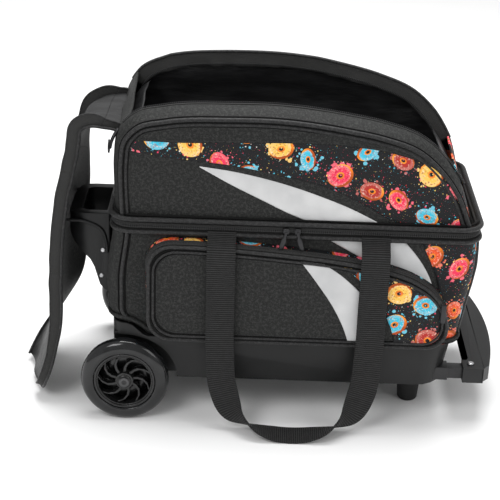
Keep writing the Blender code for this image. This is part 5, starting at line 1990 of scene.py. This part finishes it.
@dataclass
class Studio:
    """The camera, plain pale floor and soft light."""

    lens: float = 104.4
    place: Triple = (-0.0197, -1.9753, 1.1046)
    pitch: float = 24.4
    roll: float = 2.0

    def light(self, name: str, power: float, size: float, place: Sequence[float], aim: Sequence[float]) -> None:
        """Adds a square area light.

        Args:
            name: Its name.
            power: In watts.
            size: Its side in metres.
            place: Where it is.
            aim: The point it faces.
        """
        lamp = bpy.data.lights.new(name, "AREA")
        lamp.energy, lamp.size = power, size
        holder = bpy.data.objects.new(name, lamp)
        back = unit(np.array(place, float) - np.array(aim, float))
        right = unit(np.cross((0, 0, 1.0), back))
        up = np.cross(back, right)
        rows = [[right[i], up[i], back[i], place[i]] for i in range(3)] + [[0, 0, 0, 1]]
        holder.matrix_world = Matrix(rows)
        bpy.context.scene.collection.objects.link(holder)

    def build(self) -> None:
        """Makes the camera, the floor, the lights and the sky."""
        a, r = math.radians(self.pitch), math.radians(self.roll)
        ahead = np.array([0, math.cos(a), -math.sin(a)])
        up = np.array([0, math.sin(a), math.cos(a)])
        right = np.array([1.0, 0, 0])
        turned_right = right * math.cos(r) + up * math.sin(r)
        turned_up = -right * math.sin(r) + up * math.cos(r)
        data = bpy.data.cameras.new("camera")
        data.lens, data.sensor_width, data.clip_end = self.lens, 36.0, 60.0
        camera = bpy.data.objects.new("camera", data)
        rows = [[turned_right[i], turned_up[i], -ahead[i], self.place[i]] for i in range(3)] + [[0, 0, 0, 1]]
        camera.matrix_world = Matrix(rows)
        bpy.context.scene.collection.objects.link(camera)
        bpy.context.scene.camera = camera
        xy = np.linspace(-14000, 14000, 3)
        floor = make_mesh("floor", grid_of(xy[:, None], xy[None, :], -0.4), quads(3, 3), smooth=False)
        dye = Dye("pale_floor")
        place = dye.place_mm()
        floor.data.materials.append(dye.finish(
            Base_Color=dye.mix(dye.noise(place, 300, 2), (0.9, 0.9, 0.9), (0.93, 0.93, 0.93)), Roughness=0.8,
            Specular_IOR_Level=0.2))
        self.light("key", 40, 1.4, (-1.5, -2.2, 2.6), (0, 0, 0.25))
        self.light("fill", 19, 1.6, (2.3, -1.9, 1.9), (0, 0, 0.25))
        self.light("top", 84, 1.8, (0.1, 0.5, 2.8), (0, 0, 0.3))
        world = bpy.data.worlds.new("sky")
        world.use_nodes = True
        world.node_tree.nodes["Background"].inputs[0].default_value = (1, 1, 1, 1)
        world.node_tree.nodes["Background"].inputs[1].default_value = 0.55
        bpy.context.scene.world = world
        bpy.context.scene.view_settings.view_transform = "Standard"


def main() -> None:
    """Builds the sub-assemblies in order."""
    logging.basicConfig(level=logging.INFO, format="%(message)s")
    Studio().build()
    LowerBody().build()
    Pocket().build()
    Waist().build()
    CarryLoops().build()
    UpperBag().build()
    Lid().build()
    for label, side in (("front", -1), ("rear", 1)):
        Wheel(label, side).build()
    Hardware().build()
    for label, x, lean in (("left", -8.0, -7.0), ("right", 8.0, 7.0)):
        WaistSlider(label, x, lean).build()


if __name__ == "__main__":
    main()
